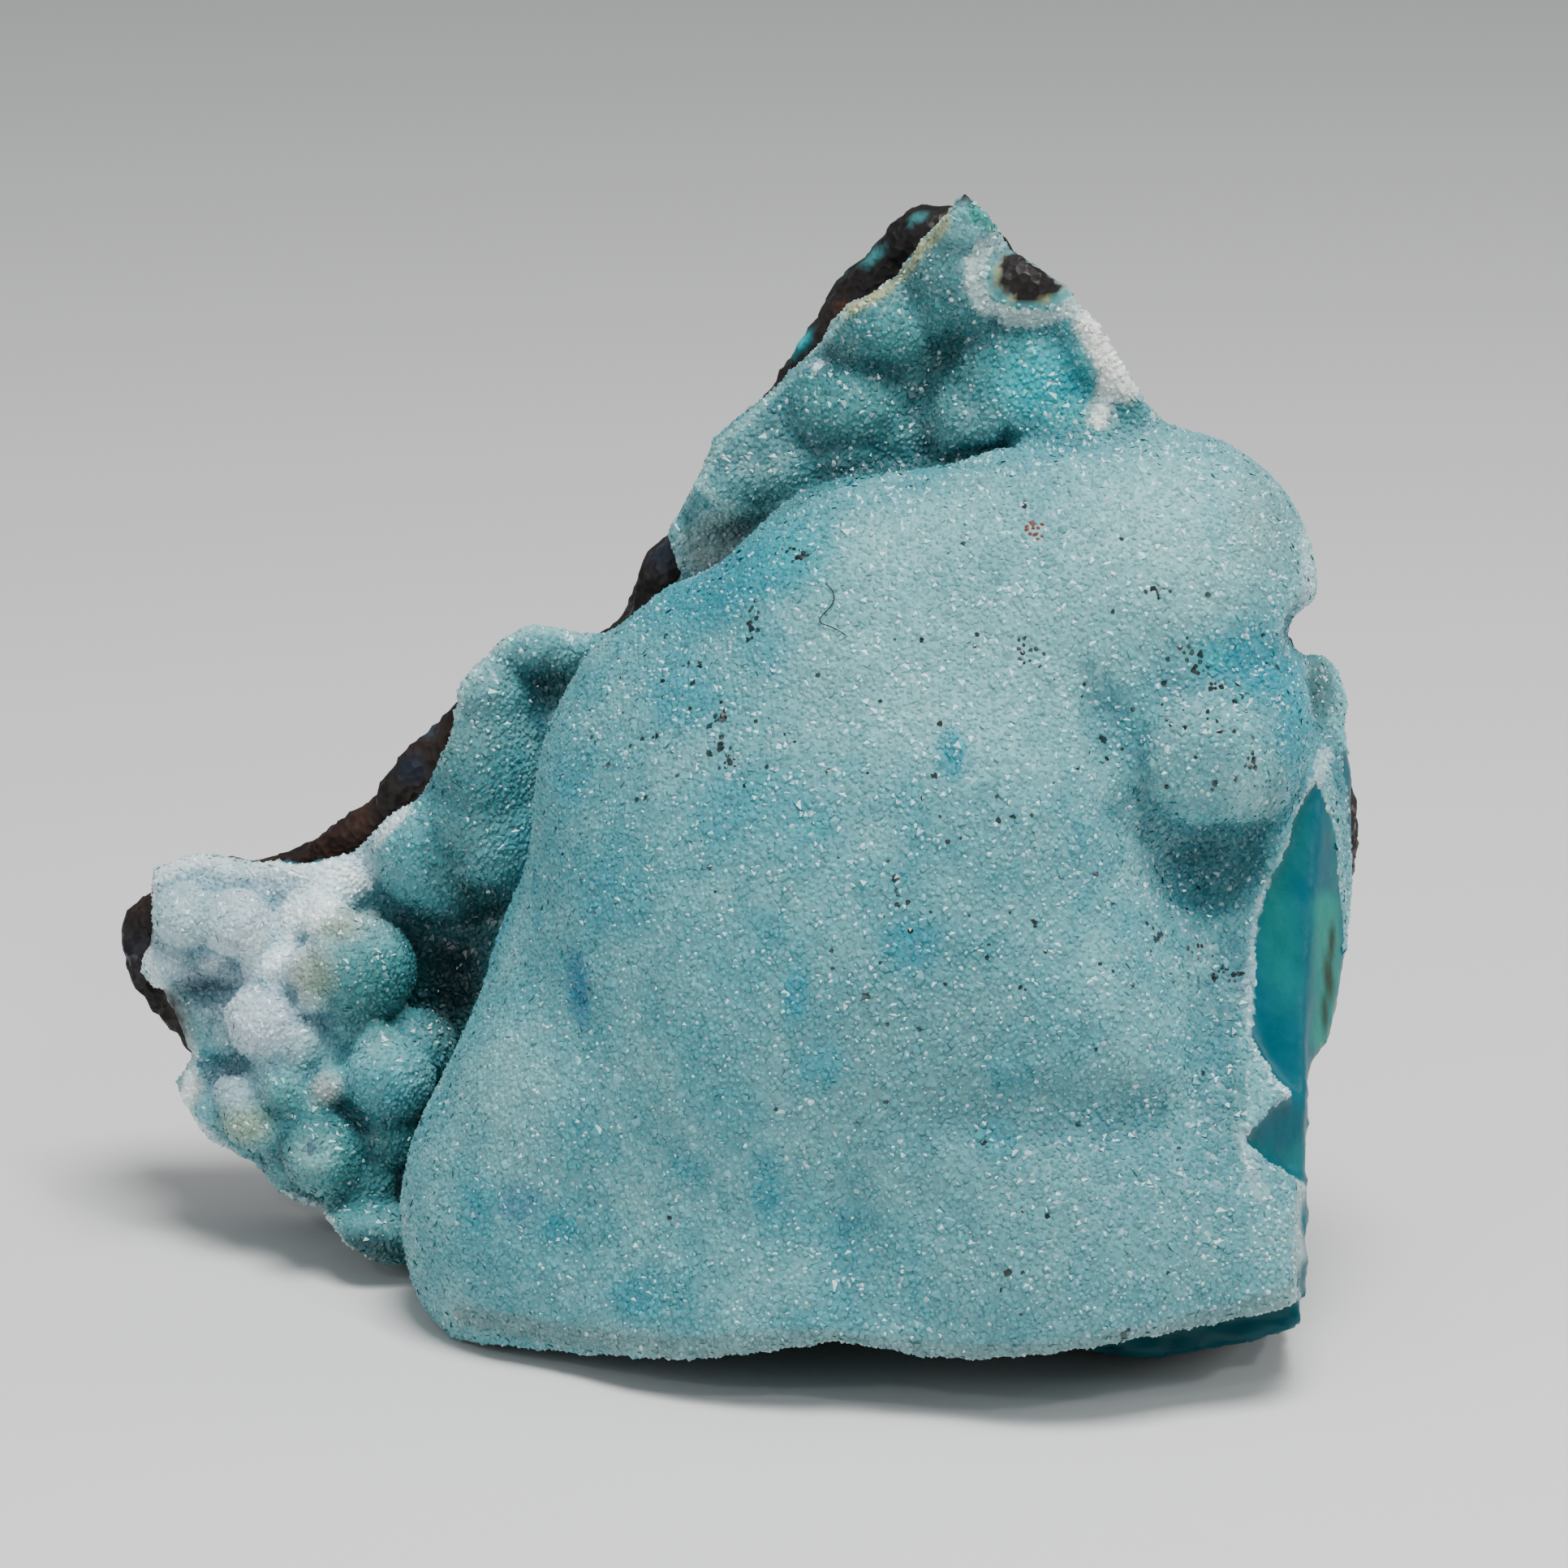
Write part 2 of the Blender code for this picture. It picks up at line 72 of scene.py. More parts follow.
class Shade(Enum):
    """Colours of the minerals, as sRGB hex values."""

    # White quartz, also painted onto grains as sparkle, a painted highlight.
    SNOW_QUARTZ_AND_SPARKLE = "d2e6ea"
    FROST = "a9c0cb"
    MILKY_QUARTZ = "93aeae"
    ROSY_QUARTZ = "a9b3ae"
    WARM_QUARTZ = "bfcac6"
    # Dull rose quartz, darker with painted shade for the downward-facing bottom rim.
    DULL_ROSE_AND_SHADE = "66736f"
    PALE_AQUA = "84b9ba"
    AQUA = "4c9098"
    GREY_AQUA = "508388"
    SKY = "1a8292"
    BRIGHT_SKY = "1c9ba3"
    DEEP_SKY = "08607e"
    SEA = "3a8083"
    TEAL = "1b5356"
    DEEP_TEAL = "123f43"
    # Painted shade for the deep gap between the boss and the cluster.
    PAINTED_GAP_SHADE = "0a2529"
    STEEL_BLUE = "3f5c6c"
    BREAK_BLUE = "00525f"
    BREAK_TEAL = "044148"
    BREAK_GREEN = "067268"
    MALACHITE = "012a12"
    CREAM_GREEN = "8c9673"
    OCHRE_GREEN = "7f8f70"
    OXIDE_BLACK = "120f0e"
    OXIDE_BROWN = "211814"
    RUST = "3a2015"
    RUST_FLECK = "74300f"
    INDIGO = "131d2a"
    CHIP = "0f8a92"
    SPECK = "0d0e0c"


def linear(shade: Shade) -> np.ndarray:
    """Turn a shade's sRGB hex value to linear light, with full alpha.

    Args:
        shade: the colour.

    Returns:
        Its linear red, green, blue and alpha.
    """
    channels = np.array([int(shade.value[start:start + 2], 16) / 255.0 for start in (0, 2, 4)])
    curved = np.where(channels <= 0.04045, channels / 12.92, ((channels + 0.055) / 1.055) ** 2.4)
    return np.append(curved, 1.0)


def smooth_step(values: np.ndarray, low: float, high: float) -> np.ndarray:
    """Rise from 0 to 1 between two values, with soft ends."""
    share = np.clip((values - low) / (high - low), 0.0, 1.0)
    return share * share * (3.0 - 2.0 * share)


# The display face, and the forms and marks that are placed on it

@dataclass(frozen=True)
class FaceFrame:
    """The display face's own frame: across to the right, up along the face, out to the viewer."""

    foot: Point = (0.59, -3.26, 0.0)
    lean: float = math.radians(15.0)

    def stand(self) -> Matrix:
        """Place of the foot line, from which the face leans back."""
        return Matrix.Translation(Vector(self.foot) * MM)

    def matrix(self) -> Matrix:
        """Turn the face's frame, in metres, to the part's frame."""
        return self.stand() @ Matrix.Rotation(math.radians(90.0) - self.lean, 4, "X")

    def read(self, places: np.ndarray) -> np.ndarray:
        """Give places of the part's frame as across, up and out, in millimetres."""
        inverse = np.array(self.matrix().inverted())
        return (places @ inverse[:3, :3].T + inverse[:3, 3]) / MM

    def outward(self) -> Vector:
        """Direction from the face to the viewer, in the part's frame."""
        return self.matrix().to_3x3() @ Vector((0.0, 0.0, 1.0))

    def on_peak(self, face_places: np.ndarray) -> np.ndarray:
        """Share of the peak at places of the face's frame, from 0 on the boss to 1 on the peak."""
        return smooth_step(face_places[:, 1] - 0.45 * face_places[:, 0], 28.2, 29.4)


FACE = FaceFrame()


@dataclass(frozen=True)
class Lobe:
    """An ellipsoid of the crust, with its centre and radii in the face's frame."""

    across: float
    up: float
    out: float
    half_width: float
    half_height: float
    half_depth: float
    roll: float = 0.0

    def matrix(self) -> Matrix:
        """Stretch and place a unit ball to this lobe.

        Returns:
            The matrix, in metres.
        """
        place = Matrix.Translation(Vector((self.across, self.up, self.out)) * MM)
        turn = Matrix.Rotation(math.radians(self.roll), 4, "Z")
        size = Vector((self.half_width, self.half_height, self.half_depth)) * MM
        return FACE.matrix() @ place @ turn @ Matrix.Diagonal(size).to_4x4()

    def holds(self, places: np.ndarray) -> np.ndarray:
        """Whether places of the part's frame lie in this lobe or right at it."""
        inverse = np.array(self.matrix().inverted())
        return np.linalg.norm(places @ inverse[:3, :3].T + inverse[:3, 3], axis=1) < SCOOP_REACH


@dataclass(frozen=True)
class Fracture:
    """A flat break: a point on it, measured from the foot line, and its outward direction."""

    point: Point
    outward: Point


@dataclass(frozen=True)
class Mark:
    """A soft-edged patch of colour on the display face, with its radii in millimetres."""

    across: float
    up: float
    half_width: float
    half_height: float
    shade: Shade
    strength: float = 1.0
    roll: float = 0.0
    behind: float = REACH

    def cover(self, face_places: np.ndarray) -> np.ndarray:
        """Share of this patch at places of the face's frame, from 0 outside to its strength.

        Args:
            face_places: places of the face's frame, in millimetres.

        Returns:
            One share for each place.
        """
        turn = math.radians(self.roll)
        across = face_places[:, 0] - self.across
        up = face_places[:, 1] - self.up
        along = (across * math.cos(turn) + up * math.sin(turn)) / self.half_width
        over = (up * math.cos(turn) - across * math.sin(turn)) / self.half_height
        share = 1.0 - smooth_step(np.hypot(along, over), 0.25, 1.15)
        return self.strength * share * smooth_step(self.behind - face_places[:, 2], 0.0, 0.6)


@dataclass(frozen=True)
class Seam:
    """A soft line of colour along points of the display face, in millimetres."""

    points: Outline
    half_width: float
    shade: Shade
    strength: float = 1.0
    behind: float = REACH

    def cover(self, face_places: np.ndarray) -> np.ndarray:
        """Share of this line at places of the face's frame, from 0 outside to its strength.

        Args:
            face_places: places of the face's frame, in millimetres.

        Returns:
            One share for each place.
        """
        nearest = np.full(len(face_places), REACH)
        for start, end in zip(self.points, self.points[1:]):
            leg = np.subtract(end, start)
            from_start = face_places[:, :2] - start
            along = np.clip(from_start @ leg / (leg @ leg), 0.0, 1.0)
            nearest = np.minimum(nearest, np.linalg.norm(from_start - along[:, None] * leg, axis=1))
        share = 1.0 - smooth_step(nearest / self.half_width, 0.4, 1.15)
        return self.strength * share * smooth_step(self.behind - face_places[:, 2], 0.0, 0.6)


@dataclass(frozen=True)
class BandedEye:
    """A cut-open bubble in the crust: dark rock inside, ringed by chrysocolla and a sugary band."""

    across: float = 11.15
    up: float = 40.15
    half_width: float = 1.38
    half_height: float = 1.02
    rings: tuple[tuple[float, Shade], ...] = (
        (1.0, Shade.OXIDE_BLACK), (1.05, Shade.CREAM_GREEN), (1.32, Shade.SEA), (1.9, Shade.MILKY_QUARTZ))
    smooth_to: float = 1.3

    def reach(self, face_places: np.ndarray) -> np.ndarray:
        """How far out places lie, where 1 is the edge of the rock inside.

        Args:
            face_places: places of the face's frame, in millimetres.

        Returns:
            One reach for each place.
        """
        along = (face_places[:, 0] - self.across) / self.half_width
        over = (face_places[:, 1] - self.up) / self.half_height
        return np.hypot(along, over)

    def tint(self, colours: np.ndarray, face_places: np.ndarray, waver: np.ndarray) -> np.ndarray:
        """Lay the rings over colours, from the outermost inwards.

        Args:
            colours: one linear colour for each place.
            face_places: places of the face's frame, in millimetres.
            waver: how much the rings waver at each place.

        Returns:
            The colours with the rings.
        """
        reach = self.reach(face_places) + waver
        for edge, shade in reversed(self.rings):
            colours = blend_to(colours, shade, 1.0 - smooth_step(reach, edge - 0.04, edge + 0.05))
        return colours


@dataclass(frozen=True)
class Swell:
    """A soft rise or dent of the grown skin, seen on the display face, in millimetres."""

    across: float
    up: float
    half_width: float
    half_height: float
    height: float
    roll: float = 0.0
    behind: float = REACH

    def push(self, face_places: np.ndarray) -> np.ndarray:
        """How far this rise lifts the skin at places of the face's frame.

        Args:
            face_places: places of the face's frame, in millimetres.

        Returns:
            Millimetres along the normal for each place.
        """
        spot = Mark(self.across, self.up, self.half_width, self.half_height, Shade.AQUA, 1.0, self.roll,
                    self.behind)
        return self.height * spot.cover(face_places)


@dataclass(frozen=True)
class Flake:
    """A flake broken off the crust: its outline on the display face, and the tilted floor it left."""

    outline: Outline
    across: float
    up: float
    out: float
    slope_across: float
    slope_up: float = 0.0

    def floor(self, across: float | np.ndarray, up: float | np.ndarray) -> float | np.ndarray:
        """How far out the floor lies at a place of the display face."""
        rise = self.slope_across * (across - self.across) + self.slope_up * (up - self.up)
        return self.out + rise

    def cover(self, face_places: np.ndarray) -> np.ndarray:
        """Share of this floor at places of the face's frame, from 0 off it to 1 on it.

        Args:
            face_places: places of the face's frame, in millimetres.

        Returns:
            One share for each place.
        """
        across, up, out = face_places.T
        inside = np.zeros(len(across), dtype=bool)
        for start, end in zip(self.outline, self.outline[1:] + self.outline[:1]):
            spans = (start[1] > up) != (end[1] > up)
            crossing = start[0] + (up - start[1]) * (end[0] - start[0]) / (end[1] - start[1] + 1e-9)
            inside ^= spans & (across < crossing)
        steep = math.sqrt(1.0 + self.slope_across ** 2 + self.slope_up ** 2)
        off = np.abs(out - self.floor(across, up)) / steep
        return inside * (1.0 - smooth_step(off, 0.25, 0.5))


@dataclass(frozen=True)
class SpeckCluster:
    """Dark oxide grains caught among the quartz: where they lie and how many of the grains they are."""

    across: float
    up: float
    half_width: float
    half_height: float
    share: float
    shade: Shade = Shade.SPECK

    def holds(self, face_places: np.ndarray) -> np.ndarray:
        """Whether places of the face's frame lie in this cluster.

        Args:
            face_places: places of the face's frame, in millimetres.

        Returns:
            True or false for each place.
        """
        across = (face_places[:, 0] - self.across) / self.half_width
        up = (face_places[:, 1] - self.up) / self.half_height
        return np.hypot(across, up) < 1.0


# Tools that shape and read meshes

def as_object(name: str, shape: bmesh.types.BMesh) -> bpy.types.Object:
    """Turn an edit mesh into an object of the scene and free the edit mesh.

    Args:
        name: name of the new object.
        shape: the edit mesh, which is freed.

    Returns:
        The object.
    """
    mesh = bpy.data.meshes.new(name)
    shape.to_mesh(mesh)
    shape.free()
    item = bpy.data.objects.new(name, mesh)
    bpy.context.scene.collection.objects.link(item)
    return item


def bake(item: bpy.types.Object) -> bpy.types.Object:
    """Replace an object's mesh by the mesh that its modifiers give, and drop the modifiers.

    Args:
        item: the object.

    Returns:
        The same object.
    """
    graph = bpy.context.evaluated_depsgraph_get()
    graph.update()
    mesh = bpy.data.meshes.new_from_object(item.evaluated_get(graph))
    item.modifiers.clear()
    item.data = mesh
    return item


def discard(*items: bpy.types.Object) -> None:
    """Remove helper objects from the scene."""
    for item in items:
        bpy.data.objects.remove(item, do_unlink=True)


def balls(name: str, lobes: tuple[Lobe, ...], rings: int = 4) -> bpy.types.Object:
    """Put one ball for each lobe in one object.

    Args:
        name: name of the new object.
        lobes: the lobes.
        rings: how often each ball is subdivided.

    Returns:
        The object.
    """
    shape = bmesh.new()
    for lobe in lobes:
        bmesh.ops.create_icosphere(shape, subdivisions=rings, radius=1.0, matrix=lobe.matrix())
    return as_object(name, shape)


def melt(item: bpy.types.Object, voxel: float, softening: int = 0) -> bpy.types.Object:
    """Merge what overlaps in an object into one skin of a voxel size, and soften its creases.

    Args:
        item: the object.
        voxel: voxel size in millimetres.
        softening: how many rounds of smoothing follow.

    Returns:
        The same object.
    """
    remesh = item.modifiers.new("merge", "REMESH")
    remesh.mode = "VOXEL"
    remesh.voxel_size = voxel * MM
    remesh.adaptivity = 0.0
    if softening:
        smooth = item.modifiers.new("soften", "SMOOTH")
        smooth.factor = 0.5
        smooth.iterations = softening
    return bake(item)


def thin_out(item: bpy.types.Object, triangles: int) -> bpy.types.Object:
    """Reduce an object to about a number of triangles.

    Args:
        item: the object.
        triangles: how many triangles to keep.

    Returns:
        The same object.
    """
    item.data.calc_loop_triangles()
    decimate = item.modifiers.new("thin_out", "DECIMATE")
    decimate.ratio = min(1.0, triangles / len(item.data.loop_triangles))
    decimate.use_collapse_triangulate = True
    return bake(item)


def raise_outline(name: str, corners: list[Point], height: float) -> bpy.types.Object:
    """Raise a closed outline straight out from the display face.

    Args:
        name: name of the new object.
        corners: the outline's corners, as across, up and out.
        height: how far it is raised, in millimetres.

    Returns:
        The closed solid.
    """
    shape = bmesh.new()
    base = shape.faces.new([shape.verts.new([value * MM for value in corner]) for corner in corners])
    raised = bmesh.ops.extrude_face_region(shape, geom=[base])
    tops = [item for item in raised["geom"] if isinstance(item, bmesh.types.BMVert)]
    bmesh.ops.translate(shape, verts=tops, vec=(0.0, 0.0, height * MM))
    bmesh.ops.triangulate(shape, faces=[face for face in shape.faces if len(face.verts) > 4])
    bmesh.ops.recalc_face_normals(shape, faces=shape.faces)
    shape.transform(FACE.matrix())
    return as_object(name, shape)


def prism(name: str, outline: Outline, back: float = -REACH) -> bpy.types.Object:
    """Raise an outline of the display face from one depth to past the front."""
    return raise_outline(name, [(across, up, back) for across, up in outline], REACH - back)


def flake_cutter(flake: Flake) -> bpy.types.Object:
    """Raise a flake's outline from its tilted floor to past the front."""
    return raise_outline("flake", [(*corner, flake.floor(*corner)) for corner in flake.outline], REACH)


def box(name: str, low: Point, high: Point, place: Matrix) -> bpy.types.Object:
    """Make a box between two corners given in millimetres, in a frame.

    Args:
        name: name of the new object.
        low: its lowest corner, in millimetres.
        high: its highest corner, in millimetres.
        place: the frame of the box.

    Returns:
        The box.
    """
    corner = Vector(low) * MM
    far_corner = Vector(high) * MM
    size = Matrix.Diagonal(far_corner - corner).to_4x4()
    middle = Matrix.Translation((corner + far_corner) / 2.0)
    shape = bmesh.new()
    bmesh.ops.create_cube(shape, size=1.0, matrix=place @ middle @ size)
    return as_object(name, shape)


def boolean(item: bpy.types.Object, cutter: bpy.types.Object, operation: str) -> bpy.types.Object:
    """Cut or keep an object with a second one, and remove the second one.

    Args:
        item: the object.
        cutter: the second object, which is removed.
        operation: Blender's name for the operation.

    Returns:
        The first object.
    """
    step = item.modifiers.new(operation.lower(), "BOOLEAN")
    step.operation = operation
    step.object = cutter
    step.solver = "EXACT"
    bake(item)
    discard(cutter)
    return item


def break_off(item: bpy.types.Object, fracture: Fracture) -> None:
    """Cut away what lies outside a flat break, and close the cut.

    Args:
        item: the object.
        fracture: the break.
    """
    shape = bmesh.new()
    shape.from_mesh(item.data)
    everything = shape.verts[:] + shape.edges[:] + shape.faces[:]
    cut = bmesh.ops.bisect_plane(
        shape, geom=everything, plane_co=FACE.stand() @ (Vector(fracture.point) * MM),
        plane_no=Vector(fracture.outward).normalized(), clear_outer=True)
    rim = [edge for edge in cut["geom_cut"] if isinstance(edge, bmesh.types.BMEdge)]
    bmesh.ops.holes_fill(shape, edges=rim, sides=0)
    bmesh.ops.triangulate(shape, faces=[face for face in shape.faces if len(face.verts) > 4])
    shape.to_mesh(item.data)
    shape.free()


def places_of(item: bpy.types.Object) -> np.ndarray:
    """Vertex positions of an object, one row each.

    Args:
        item: the object.

    Returns:
        The positions, in metres.
    """
    places = np.empty(len(item.data.vertices) * 3)
    item.data.vertices.foreach_get("co", places)
    return places.reshape(-1, 3)


def normals_of(item: bpy.types.Object) -> np.ndarray:
    """Vertex normals of an object, one row each.

    Args:
        item: the object.

    Returns:
        The normals.
    """
    normals = np.empty(len(item.data.vertices) * 3)
    item.data.vertices.foreach_get("normal", normals)
    return normals.reshape(-1, 3)


def triangles_of(item: bpy.types.Object) -> np.ndarray:
    """Vertex numbers of an object's triangles, three to a row.

    Args:
        item: the object.

    Returns:
        The vertex numbers.
    """
    item.data.calc_loop_triangles()
    corners = np.empty(len(item.data.loop_triangles) * 3, dtype=np.int64)
    item.data.loop_triangles.foreach_get("vertices", corners)
    return corners.reshape(-1, 3)


def edges_of(item: bpy.types.Object) -> tuple[np.ndarray, np.ndarray]:
    """First and second vertex of each edge of an object.

    Args:
        item: the object.

    Returns:
        The two vertex numbers, as two rows.
    """
    ends = np.empty(len(item.data.edges) * 2, dtype=np.int64)
    item.data.edges.foreach_get("vertices", ends)
    return ends[::2], ends[1::2]


def copy_of(item: bpy.types.Object, name: str) -> bpy.types.Object:
    """Copy an object with a mesh of its own.

    Args:
        item: the object.
        name: name of the new object.

    Returns:
        The copy.
    """
    twin = bpy.data.objects.new(name, item.data.copy())
    bpy.context.scene.collection.objects.link(twin)
    return twin


def move_to(item: bpy.types.Object, places: np.ndarray) -> None:
    """Give an object's vertices new positions."""
    item.data.vertices.foreach_set("co", places.ravel())
    item.data.update()


def noise_at(places: np.ndarray, grain: float, shift: float = 0.0) -> np.ndarray:
    """Smooth noise of a grain size in millimetres at places of the part's frame, from about -1 to 1.

    Args:
        places: places of the part's frame, in metres.
        grain: grain size in millimetres.
        shift: a shift that gives a pattern of its own.

    Returns:
        One value for each place.
    """
    foot = np.array(FACE.foot) * MM
    scaled = (places - foot) / (grain * MM) + shift
    return np.array([noise.noise(Vector(place)) for place in scaled])


def distance_to(tree: BVHTree, places: np.ndarray) -> np.ndarray:
    """Distance from places to a surface, in millimetres."""
    return np.array([tree.find_nearest(Vector(place))[3] for place in places]) / MM


def depth_from_front(tree: BVHTree, places: np.ndarray) -> np.ndarray:
    """How far places lie behind a surface, looked at from the display side, in millimetres.

    Args:
        tree: the surface.
        places: places of the part's frame, in metres.

    Returns:
        One depth for each place; 0 where nothing lies in front.
    """
    outward = FACE.outward()
    hits = [tree.ray_cast(Vector(place), outward)[3] for place in places]
    return np.array([0.0 if hit is None else hit for hit in hits]) / MM


def creases_of(item: bpy.types.Object, steps: int) -> np.ndarray:
    """How deep each vertex lies in a crease, in millimetres; below zero on a bump.

    Args:
        item: the object.
        steps: how many edges away its neighbourhood reaches.

    Returns:
        One depth for each vertex.
    """
    places = places_of(item)
    first, second = edges_of(item)
    both_ways = np.concatenate((first, second)), np.concatenate((second, first))
    neighbours = np.bincount(both_ways[0], minlength=len(places))
    around = places
    for _ in range(steps):
        around = np.stack([np.bincount(both_ways[0], around[both_ways[1], axis], len(places)) / neighbours
                           for axis in range(3)], axis=1)
    return np.einsum("nk,nk->n", around - places, normals_of(item)) / MM


def keep_largest(item: bpy.types.Object) -> None:
    """Drop every island but the one with the most vertices.

    Args:
        item: the object.
    """
    count = len(item.data.vertices)
    first, second = edges_of(item)
    label = np.arange(count)
    while True:
        lower = label.copy()
        np.minimum.at(lower, first, label[second])
        np.minimum.at(lower, second, label[first])
        lower = lower[lower]
        if np.array_equal(lower, label):
            break
        label = lower
    main_label = np.bincount(label, minlength=count).argmax()
    shape = bmesh.new()
    shape.from_mesh(item.data)
    shape.verts.ensure_lookup_table()
    strays = [shape.verts[index] for index in np.flatnonzero(label != main_label)]
    bmesh.ops.delete(shape, geom=strays, context="VERTS")
    shape.to_mesh(item.data)
    shape.free()


def paint(item: bpy.types.Object, name: str, colours: np.ndarray) -> None:
    """Store one linear colour for each vertex of an object."""
    layer = item.data.attributes.new(name, "FLOAT_COLOR", "POINT")
    layer.data.foreach_set("color", colours.astype(np.float32).ravel())


def blend_to(colours: np.ndarray, shade: Shade, share: np.ndarray) -> np.ndarray:
    """Mix colours towards a shade by a share for each."""
    return colours + (linear(shade) - colours) * np.clip(share, 0.0, 1.0)[:, None]


# Materials

def add_node(tree: bpy.types.NodeTree, kind: str, settings: dict | None = None,
             inputs: dict | None = None) -> bpy.types.Node:
    """Add a node with its settings and links.

    Args:
        tree: the node tree of a material.
        kind: Blender's name for the node.
        settings: properties of the node.
        inputs: sockets by name or number: another node's output is linked, a value is set.

    Returns:
        The new node.
    """
    node = tree.nodes.new(kind)
    for name, value in (settings or {}).items():
        setattr(node, name, value)
    for name, value in (inputs or {}).items():
        if isinstance(value, bpy.types.NodeSocket):
            tree.links.new(value, node.inputs[name])
        else:
            node.inputs[name].default_value = value
    return node


def new_material(name: str) -> tuple[bpy.types.Material, bpy.types.NodeTree, bpy.types.Node]:
    """Make a material and give it with its node tree and its main shader.

    Args:
        name: name of the material.

    Returns:
        The material, its node tree and its shader.
    """
    material = bpy.data.materials.new(name)
    material.use_nodes = True
    tree = material.node_tree
    return material, tree, tree.nodes["Principled BSDF"]


@dataclass(frozen=True)
class GrainFinish:
    """Quartz, grown as fine free-standing crystals: each face is a small mirror on milky stone.

    To the eye the skin is sugar: pale, soft in colour, with a pinpoint of light wherever a crystal face
    happens to mirror a lamp.
    """

    name: str = "quartz_druse_grown"
    ior: float = 1.544
    roughness: float = 0.2
    cloud_size: float = 0.5
    cloud_depth: float = 0.10
    flaw_size: float = 0.13
    flaw_depth: float = 0.16

    def make(self) -> bpy.types.Material:
        """Build the material.

        Returns:
            The material.
        """
        material, tree, shader = new_material(self.name)
        tint = add_node(tree, "ShaderNodeAttribute", {"attribute_name": "tint"})
        spot = add_node(tree, "ShaderNodeTexCoord")
        gains = []
        for size, depth, detail in ((self.cloud_size, self.cloud_depth, 2.0),
                                    (self.flaw_size, self.flaw_depth, 1.0)):
            cloud = add_node(tree, "ShaderNodeTexNoise", inputs={
                "Vector": spot.outputs["Object"], "Scale": 1.0 / (size * MM), "Detail": detail})
            gain = add_node(tree, "ShaderNodeMapRange", inputs={
                "Value": cloud.outputs["Fac"], "From Min": NOISE_LOW, "From Max": NOISE_HIGH,
                "To Min": 1.0 - depth, "To Max": 1.0 + depth})
            gains.append(gain.outputs["Result"])
        both = add_node(tree, "ShaderNodeMath", {"operation": "MULTIPLY"}, {0: gains[0], 1: gains[1]})
        colour = add_node(tree, "ShaderNodeVectorMath", {"operation": "SCALE"}, {
            0: tint.outputs["Color"], "Scale": both.outputs["Value"]})
        tree.links.new(colour.outputs["Vector"], shader.inputs["Base Color"])
        shader.inputs["IOR"].default_value = self.ior
        shader.inputs["Roughness"].default_value = self.roughness
        return material


@dataclass(frozen=True)
class BedFinish:
    """Massed fine quartz between the crystals: no faces of its own to mirror, so soft and even."""

    name: str = "quartz_druse_bed"
    roughness: float = 0.55
    grain_size: float = 0.22
    grain_depth: float = 0.05

    def make(self) -> bpy.types.Material:
        """Build the material.

        Returns:
            The material.
        """
        material, tree, shader = new_material(self.name)
        tint = add_node(tree, "ShaderNodeAttribute", {"attribute_name": "tint"})
        spot = add_node(tree, "ShaderNodeTexCoord")
        cells = add_node(tree, "ShaderNodeTexVoronoi", {"feature": "F1"}, {
            "Vector": spot.outputs["Object"], "Scale": 1.0 / (self.grain_size * MM)})
        bump = add_node(tree, "ShaderNodeBump", inputs={
            "Height": cells.outputs["Distance"], "Strength": 0.6,
            "Distance": self.grain_depth * MM})
        tree.links.new(tint.outputs["Color"], shader.inputs["Base Color"])
        tree.links.new(bump.outputs["Normal"], shader.inputs["Normal"])
        shader.inputs["Roughness"].default_value = self.roughness
        return material


@dataclass(frozen=True)
class BreakFinish:
    """Chrysocolla, broken: a shell-shaped fracture with the gloss of wax over a deep, clouded blue."""

    name: str = "chrysocolla_fractured"
    ior: float = 1.5
    gloss: float = 0.16
    smoothest: float = 0.22
    dullest: float = 0.42
    cloud_size: float = 2.0
    cloud_depth: float = 0.16
    ripple_size: float = 0.7
    ripple_depth: float = 0.05

    def make(self) -> bpy.types.Material:
        """Build the material.

        Returns:
            The material.
        """
        material, tree, shader = new_material(self.name)
        tint = add_node(tree, "ShaderNodeAttribute", {"attribute_name": "tint"})
        spot = add_node(tree, "ShaderNodeTexCoord")
        cloud = add_node(tree, "ShaderNodeTexNoise", inputs={
            "Vector": spot.outputs["Object"], "Scale": 1.0 / (self.cloud_size * MM), "Detail": 5.0,
            "Roughness": 0.6})
        gain = add_node(tree, "ShaderNodeMapRange", inputs={
            "Value": cloud.outputs["Fac"], "From Min": NOISE_LOW, "From Max": NOISE_HIGH,
            "To Min": 1.0 - self.cloud_depth, "To Max": 1.0 + self.cloud_depth})
        colour = add_node(tree, "ShaderNodeVectorMath", {"operation": "SCALE"}, {
            0: tint.outputs["Color"], "Scale": gain.outputs["Result"]})
        gloss = add_node(tree, "ShaderNodeMapRange", inputs={
            "Value": cloud.outputs["Fac"], "From Min": NOISE_LOW, "From Max": NOISE_HIGH,
            "To Min": self.smoothest, "To Max": self.dullest})
        ripple = add_node(tree, "ShaderNodeTexNoise", inputs={
            "Vector": spot.outputs["Object"], "Scale": 1.0 / (self.ripple_size * MM), "Detail": 3.0})
        bump = add_node(tree, "ShaderNodeBump", inputs={
            "Height": ripple.outputs["Fac"], "Strength": 0.7, "Distance": self.ripple_depth * MM})
        tree.links.new(colour.outputs["Vector"], shader.inputs["Base Color"])
        tree.links.new(gloss.outputs["Result"], shader.inputs["Roughness"])
        tree.links.new(bump.outputs["Normal"], shader.inputs["Normal"])
        shader.inputs["IOR"].default_value = self.ior
        shader.inputs["Specular IOR Level"].default_value = self.gloss
        return material


